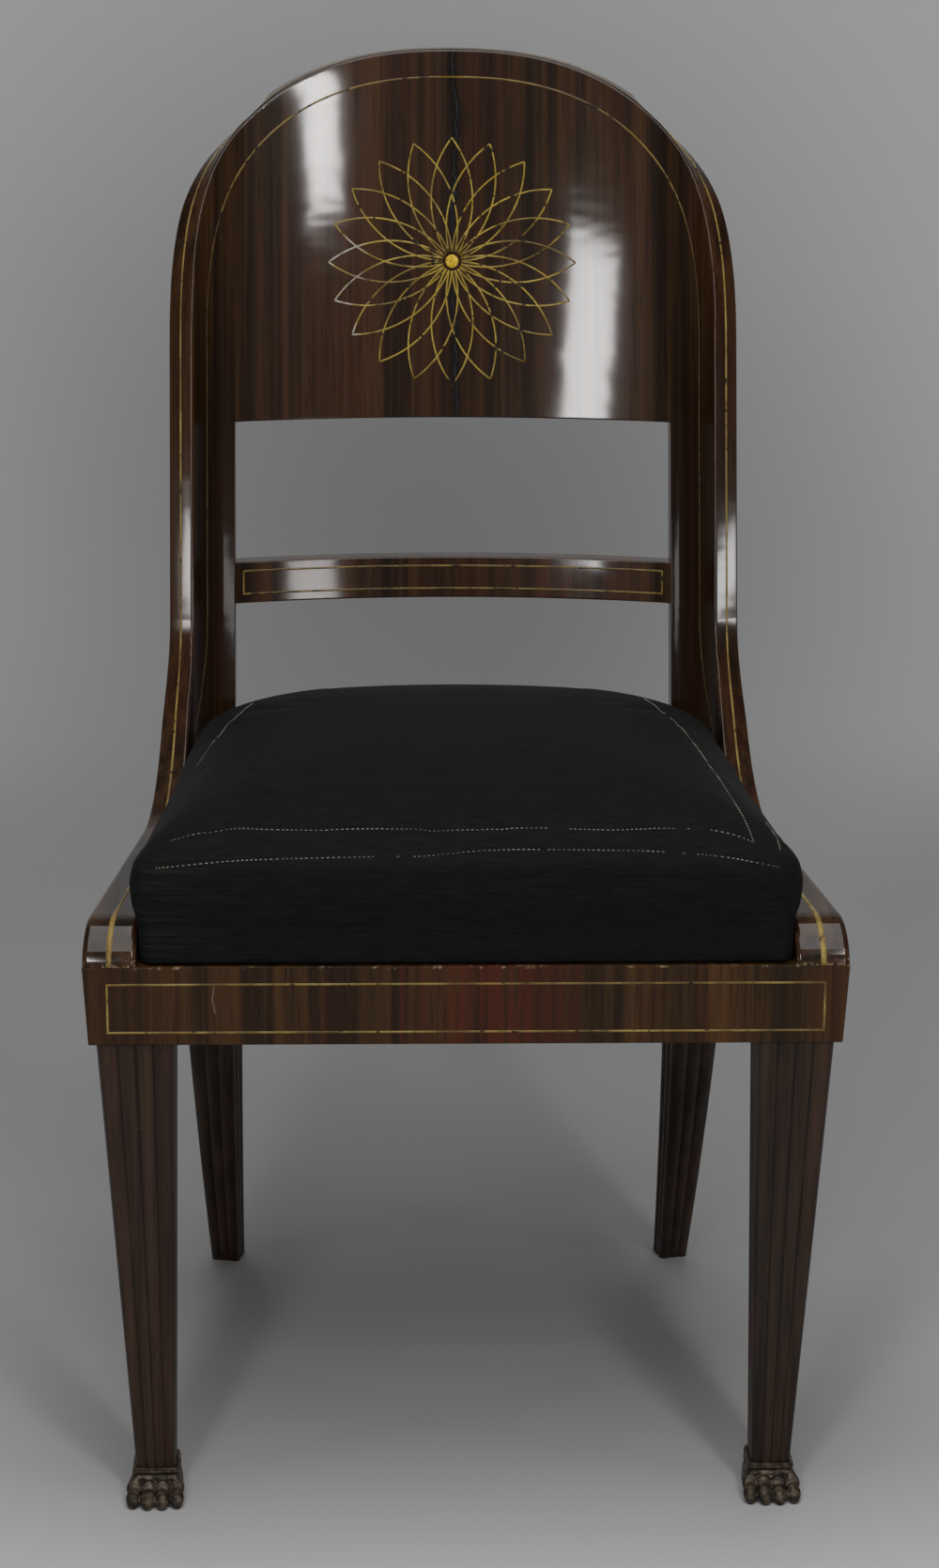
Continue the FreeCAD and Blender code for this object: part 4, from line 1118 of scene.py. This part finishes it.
# Stuffing: curled horsehair teased into a firm pad with a crown and a rolled edge.
# It is stitched down on the hessian and hidden by the cover.
seat_edge_rise = 0.049
seat_crown_rise = 0.030
seat_back_rise = 0.010
seat_tilt = seat_back_rise / seat_depth
crown_y = front_y + seat_depth * 0.58
pad_rows = ((0, 0.0009, 0.0025, 0, 0.009, 0.0003), (0.0003, 0.0009, 0.0018, 0, 0.009, 0.0006),
            (0.01323, 0.0009, 0.0012, 0.0042, 0.011, 0.0008),
            (0.02695, 0.0014, 0.0008, 0.0066, 0.013, 0.0010),
            (0.0395, 0.0040, 0.0010, 0.0066, 0.015, 0.0012), (0.0452, 0.0080, 0.0036, 0.0060, 0.018, 0.0020),
            (seat_edge_rise, 0.0129, 0.0109, 0.0050, 0.022, 0.0030))
crown_rows = ((0.955, 0.17), (0.90, 0.34), (0.80, 0.56), (0.70, 0.72), (0.56, 0.85), (0.42, 0.93),
              (0.28, 0.975), (0.14, 1))


def seat_rings(skin, foot):
    """Rings of the stuffed form from its foot to its crown, everywhere skin further in than the cover."""
    rings = []
    for i, (rise, inset, front_set, swell, corner, bow) in enumerate(pad_rows):
        z = foot if i == 0 else side_top + rise - (skin if i == len(pad_rows) - 1 else 0)
        tilt = seat_tilt * clamp(rise / seat_edge_rise)
        ring = seat_ring(z, inset + skin, front_set + skin, swell, corner, bow)
        rings.append([Vector((p.x, p.y, z + tilt * (p.y - front_y))) for p in ring])
    edge = rings[-1]
    for factor, share in crown_rows:
        z = side_top + seat_edge_rise - skin + seat_crown_rise * share
        ring = [(p.x * factor, blend(crown_y, p.y, factor)) for p in edge]
        rings.append([Vector((x, y, z + seat_tilt * (y - front_y))) for x, y in ring])
    return rings


stuffing = loft("horsehair_pad", seat_rings(0.0075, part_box("hair_stuffing")[0].z))
hair, hair_shader, hair_at = new_material("curled_horsehair")
strands = cloud(hair_at, (300, 80, 300), 6, 0.7, 3)
feed(hair_shader, {"Base Color": tint(steps_of(strands, 0.35, 0.65), (0.010, 0.007, 0.005),
                                      (0.085, 0.060, 0.042)),
                   "Roughness": steps_of(strands, 0.3, 0.7, 0.75, 0.5), "Normal": bump(strands, 0.9, 0.003)})
settle(stuffing, "slip_seat", "horsehair", "hair_stuffing", hair)

# Cover: black haircloth drawn tight over the stuffing, turned under the bars and tacked there. Two rows of
# cream thread stitch down the edge roll, and the cloth is worn grey at the left front corner.
turn_under_z = slip_z + 0.0013
cloth_settings = {"quality": 4, "mass": 0.35, "tension_stiffness": 30, "compression_stiffness": 30,
                  "shear_stiffness": 12, "bending_stiffness": 3, "use_pressure": True,
                  "uniform_pressure_force": 4, "vertex_group_mass": "held"}
seam_depth = 0.0011
seam_width = 0.0045
cushion = new_piece("haircloth_cushion", cast("haircloth_cushion", [seat_rings(0.0004, slip_z)], 0.0032, 1))


def plump(piece, held_below, cap):
    """Cloth under light pressure, held at its foot, so that the cover stands full over the stuffing."""
    rest = [v.co.copy() for v in piece.data.vertices]
    held = piece.vertex_groups.new(name="held")
    held.add([i for i, p in enumerate(rest) if p.z < held_below], 1, "REPLACE")
    cloth = piece.modifiers.new("plump", "CLOTH")
    for key, value in cloth_settings.items():
        setattr(cloth.settings, key, value)
    cloth.settings.effector_weights.gravity = 0
    cloth.point_cache.frame_start = 1
    cloth.point_cache.frame_end = 20
    for i in range(1, 21):
        bpy.context.scene.frame_set(i)
    full = piece.evaluated_get(bpy.context.evaluated_depsgraph_get()).to_mesh()
    moved = [v.co.copy() for v in full.vertices]
    piece.modifiers.remove(cloth)
    piece.vertex_groups.remove(held)
    bpy.context.scene.frame_set(1)
    for v, a, b in zip(piece.data.vertices, rest, moved):
        d = b - a
        if d.length > cap:
            d = d.normalized() * cap
        room = clamp((-0.03 - a.y) / 0.06)
        v.co = a + Vector((d.x * room * 0.5, d.y * room * 0.25, d.z))


plump(cushion, side_top + 0.003, 0.004)
shell = bmesh.new()
shell.from_mesh(cushion.data)
under = [f for f in shell.faces if f.normal.z < -0.6 and f.calc_center_median().z < side_top]
bmesh.ops.delete(shell, geom=under, context="FACES")
outer = [shell.verts.new((*p, turn_under_z)) for p in seat_ring(slip_z, 0.0018, 0.0033, 0, 0.009, 0.0003)]
inner = [shell.verts.new((*p, turn_under_z)) for p in seat_ring(slip_z, 0.0189, 0.0210, 0, 0.009, 0.0003)]
band(shell, inner, outer)
shell.to_mesh(cushion.data)
shell.free()
cushion.data.shade_smooth()


def surface_of(piece):
    bpy.context.view_layer.update()
    return BVHTree.FromObject(piece, bpy.context.evaluated_depsgraph_get())


def on_top(skin, x, y):
    return skin.ray_cast(Vector((x, y, 0.60)), Vector((0, 0, -1)))[:2]


def on_front(skin, x, z):
    return skin.ray_cast(Vector((x, -0.40, z)), Vector((0, 1, 0)))[:2]


def row_points(points, step):
    """Even points along a line drawn through a few places."""
    line = [Vector(p) for p in points]
    out = []
    for i in range(len(line) - 1):
        p0, p1, p2 = line[max(i - 1, 0)], line[i], line[i + 1]
        p3 = line[min(i + 2, len(line) - 1)]
        n = max(2, int((p2 - p1).length / step))
        for k in range(n):
            t = k / n
            out.append(0.5 * ((2 * p1) + (p2 - p0) * t + (2 * p0 - 5 * p1 + 4 * p2 - p3) * t * t
                              + (3 * p1 - p0 - 3 * p2 + p3) * t ** 3))
    return out + [line[-1]]


top_rows = [((-0.187, -0.2384), (-0.153, -0.2355), (-0.117, -0.2365), (-0.058, -0.2353), (-0.010, -0.2362),
             (0.037, -0.2348), (0.085, -0.2364), (0.121, -0.2362), (0.157, -0.2363), (0.1815, -0.2425)),
            ((0.1815, -0.2425), (0.1741, -0.1947), (0.1674, -0.1253), (0.1590, -0.0519), (0.148, 0.002),
             (0.134, 0.046)),
            ((-0.1790, -0.0700), (-0.1650, -0.0150), (-0.144, 0.046)),
            ((0.1815, -0.2425), (0.1905, -0.2490)),
            ((0.1985, -0.2440), (0.1975, -0.2200), (0.1955, -0.1850))]
front_row = ((-0.196, 0.4365), (-0.152, 0.4400), (-0.117, 0.4412), (-0.058, 0.4422), (-0.028, 0.4424),
             (0.013, 0.4450), (0.060, 0.4452), (0.107, 0.4446), (0.155, 0.4424), (0.178, 0.4395),
             (0.197, 0.4360))
stitch_rows = [(row, on_top) for row in top_rows] + [(front_row, on_front)]
skin = surface_of(cushion)
seams = [touch(skin, p.x, p.y)[0] for row, touch in stitch_rows for p in row_points(row, 0.002)]
seams = [p for p in seams if p is not None]
near_seams = KDTree(len(seams))
for i, p in enumerate(seams):
    near_seams.insert(p, i)
near_seams.balance()
drawn = bmesh.new()
drawn.from_mesh(cushion.data)
drawn.normal_update()
for v in drawn.verts:
    if v.co.z > side_top + 0.01:
        v.co -= v.normal * seam_depth * math.exp(-(near_seams.find(v.co)[2] / seam_width) ** 2)
drawn.to_mesh(cushion.data)
drawn.free()
fine = cushion.modifiers.new("fine", "SUBSURF")
fine.levels = 1
fine.render_levels = 1
thicken(cushion, 0.0010, -1)

haircloth, cloth_shader, cloth_at = new_material("black_haircloth")
cloth = woven(cloth_at, 4200, 5200)
cloth_x, cloth_y = axes(cloth_at)[:2]
worn = times(steps_of(cloth_x, -0.135, -0.200), steps_of(cloth_y, -0.235, -0.256))
worn = times(worn, steps_of(cloud(cloth_at, (9, 60, 520), 5), 0.46, 0.74, 0, 0.30))
black = tint(steps_of(cloth["Shade"], 0.25, 0.75), (0.0042, 0.0044, 0.0044), (0.0105, 0.0108, 0.0107))
black = tint(worn, black, (0.040, 0.037, 0.034))
black = tint(times(spots_on(cloth_at, 70, 0.10), 0.35), black, (0.06, 0.058, 0.055))
feed(cloth_shader, {"Base Color": black, "Roughness": steps_of(cloth["Height"], -0.5, 0.5, 0.62, 0.78),
                    "Specular IOR Level": 0.07, "Sheen Weight": 0.010, "Sheen Roughness": 0.5,
                    "Normal": bump(cloth["Height"], 0.35, 0.0004)})
cushion.data.materials.clear()
settle(cushion, "slip_seat", "haircloth", "haircloth_cover", haircloth)

# Stitching: single cream threads about two millimetres long, in the two rows of the front edge and the rows
# that turn back along the sides. Many threads have gone, so the rows are broken.
stitch_pitch = 0.0030
stitch_share = 0.62
loss_chance = 0.03
bead = ((0, 0.00008, -0.0001), (0.2, 0.00030, 0.0002), (0.5, 0.00036, 0.0003), (0.8, 0.00030, 0.0002),
        (1, 0.00008, -0.0001))
chance = random.Random(7)
thread = bmesh.new()
skin = surface_of(cushion)


def stitch(a, b, normal):
    """One thread: a short round bead, sunk at its ends."""
    side = normal.cross((b - a).normalized()).normalized()
    rows = []
    for t, r, lift in bead:
        c = a.lerp(b, t) + normal * lift
        rows.append([thread.verts.new(c + side * (r * math.cos(k)) + normal * (r * math.sin(k)))
                     for k in turns(6)])
    wrap(thread, rows)


for row, touch in stitch_rows:
    line = row_points(row, stitch_pitch)
    lost = 0
    for a, b in zip(line, line[1:]):
        if lost == 0 and chance.random() < loss_chance:
            lost = chance.randint(1, 4)
        if lost:
            lost -= 1
            continue
        end = a.lerp(b, stitch_share)
        pa, na = touch(skin, a.x, a.y)
        pb, nb = touch(skin, end.x, end.y)
        if pa is not None and pb is not None:
            stitch(pa, pb, (na + nb).normalized())
bmesh.ops.recalc_face_normals(thread, faces=thread.faces[:])
cream, cream_shader, cream_at = new_material("cream_thread")
twist = cloud(cream_at, 1500, 2)
feed(cream_shader, {"Base Color": tint(steps_of(cloud(cream_at, 45), 0.35, 0.65), (0.11, 0.10, 0.085),
                                       (0.42, 0.38, 0.30)),
                    "Roughness": steps_of(twist, 0.2, 0.8, 0.7, 0.95), "Normal": bump(twist, 0.5, 0.0002)})
settle(new_piece("seat_stitching", thread, smooth=True), "slip_seat", "haircloth", None, cream)

# Floor and backdrop: one sheet of grey paper that runs from the floor up behind the chair without a corner.
# It is clear from behind and below, so that the back and the underside of the chair can be looked at.
paper_half = 5
bend_y = 1.5
bend_r = 0.9
paper = bmesh.new()
profile = [(-paper_half, 0)]
profile += [(bend_y + bend_r * math.sin(a), bend_r - bend_r * math.cos(a)) for a in quarter(16)]
profile.append((bend_y + bend_r, 4.2))
rows = [[paper.verts.new((x, y, z)) for x in (-paper_half, paper_half)] for y, z in profile]
for a, b in zip(rows, rows[1:]):
    paper.faces.new((a[0], a[1], b[1], b[0]))
grey, paper_shader, paper_at = new_material("grey_paper")
paper_x, paper_y, paper_z = axes(paper_at)
upright_at = add("CombineXYZ", {0: paper_x, 1: paper_z})[0]
outwards = add("VectorMath", {0: upright_at, 1: (0, 0.2, 0)}, operation="DISTANCE")[1]
# Painted shade: the wall is darker behind the chair and lighter outwards.
wall_painted_shade = tint(steps_of(outwards, 0, 1.1), (0.32, 0.32, 0.32), (0.82, 0.82, 0.82))
# Painted light and shade: the floor is darker near the chair and lighter towards the front.
floor_painted_light_and_shade = tint(steps_of(paper_y, -0.1, -0.6), (0.42, 0.42, 0.42), (0.74, 0.74, 0.74))
behind = add("NewGeometry", {}, grey.node_tree)["Backfacing"]
feed(paper_shader, {"Base Color": tint(steps_of(paper_y, 1, 1.8), floor_painted_light_and_shade, wall_painted_shade),
                    "Roughness": 0.9, "Alpha": sums("SUBTRACT", 1, behind)})
sweep = new_piece("paper_sweep", paper, smooth=True)
sweep.data.materials.append(grey)
sweep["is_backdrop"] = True

# Light: soft boxes on both sides of the camera, whose reflections stand in the crest and the middle rail,
# two far ones that light the edges of the stiles, a broad soft light from above, and a dim room.
scene = bpy.context.scene
scene.view_settings.view_transform = "Standard"
scene.world = bpy.data.worlds.new("dim_room")
scene.world.use_nodes = True
feed(scene.world.node_tree.nodes["Background"], {"Color": (1, 1, 1), "Strength": 0.07})
for name, at, towards, width, tall, watts, lean_in in (
        ("soft_box_right", (0.73, -1.97, 2.18), (0, 0.1, 0.7), 0.18, 0.62, 9.3, -17),
        ("soft_box_right_low", (0.66, -2, 1.25), (0, 0.1, 0.6), 0.20, 0.20, 1.7, -12),
        ("soft_box_left", (-0.557, -2.08, 1.60), (0, 0.1, 0.7), 0.22, 0.46, 7.6, 15),
        ("soft_box_far_right", (2.47, -1.25, 1.08), (0, 0.1, 0.6), 0.36, 0.11, 2.4, 0),
        ("soft_box_far_left", (-2.355, -1.40, 1.15), (0, 0.1, 0.6), 0.24, 0.15, 2, 0),
        ("soft_top", (0, -0.7, 3.2), (0, 0, 0), 1.5, 3.2, 45, 0)):
    lamp = bpy.data.lights.new(name, "AREA")
    lamp.shape = "RECTANGLE"
    lamp.size = width
    lamp.size_y = tall
    lamp.energy = watts
    box = bpy.data.objects.new(name, lamp)
    scene.collection.objects.link(box)
    box.location = at
    box.rotation_mode = "QUATERNION"
    facing = (Vector(towards) - Vector(at)).to_track_quat("-Z", "Y")
    box.rotation_quaternion = facing @ Quaternion((0, 0, 1), math.radians(lean_in))

# Camera: where the photograph was taken from, a little over two metres in front of the chair and about a
# metre above the floor, looking slightly down.
eye = Vector((-0.0623, -2.2928, 1.0464))
yaw = math.radians(1.775)
pitch = math.radians(15.249)
roll = math.radians(0.342)
lens = bpy.data.cameras.new("photo_view")
lens.lens = 3600 / 1670 * 36
lens.sensor_width = 36
camera = bpy.data.objects.new("photo_view", lens)
scene.collection.objects.link(camera)
camera.matrix_world = (Matrix.Translation(eye) @ Matrix.Rotation(-yaw, 4, "Z")
                       @ Matrix.Rotation(math.pi / 2 - pitch, 4, "X") @ Matrix.Rotation(roll, 4, "Z"))
scene.camera = camera

low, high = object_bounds()
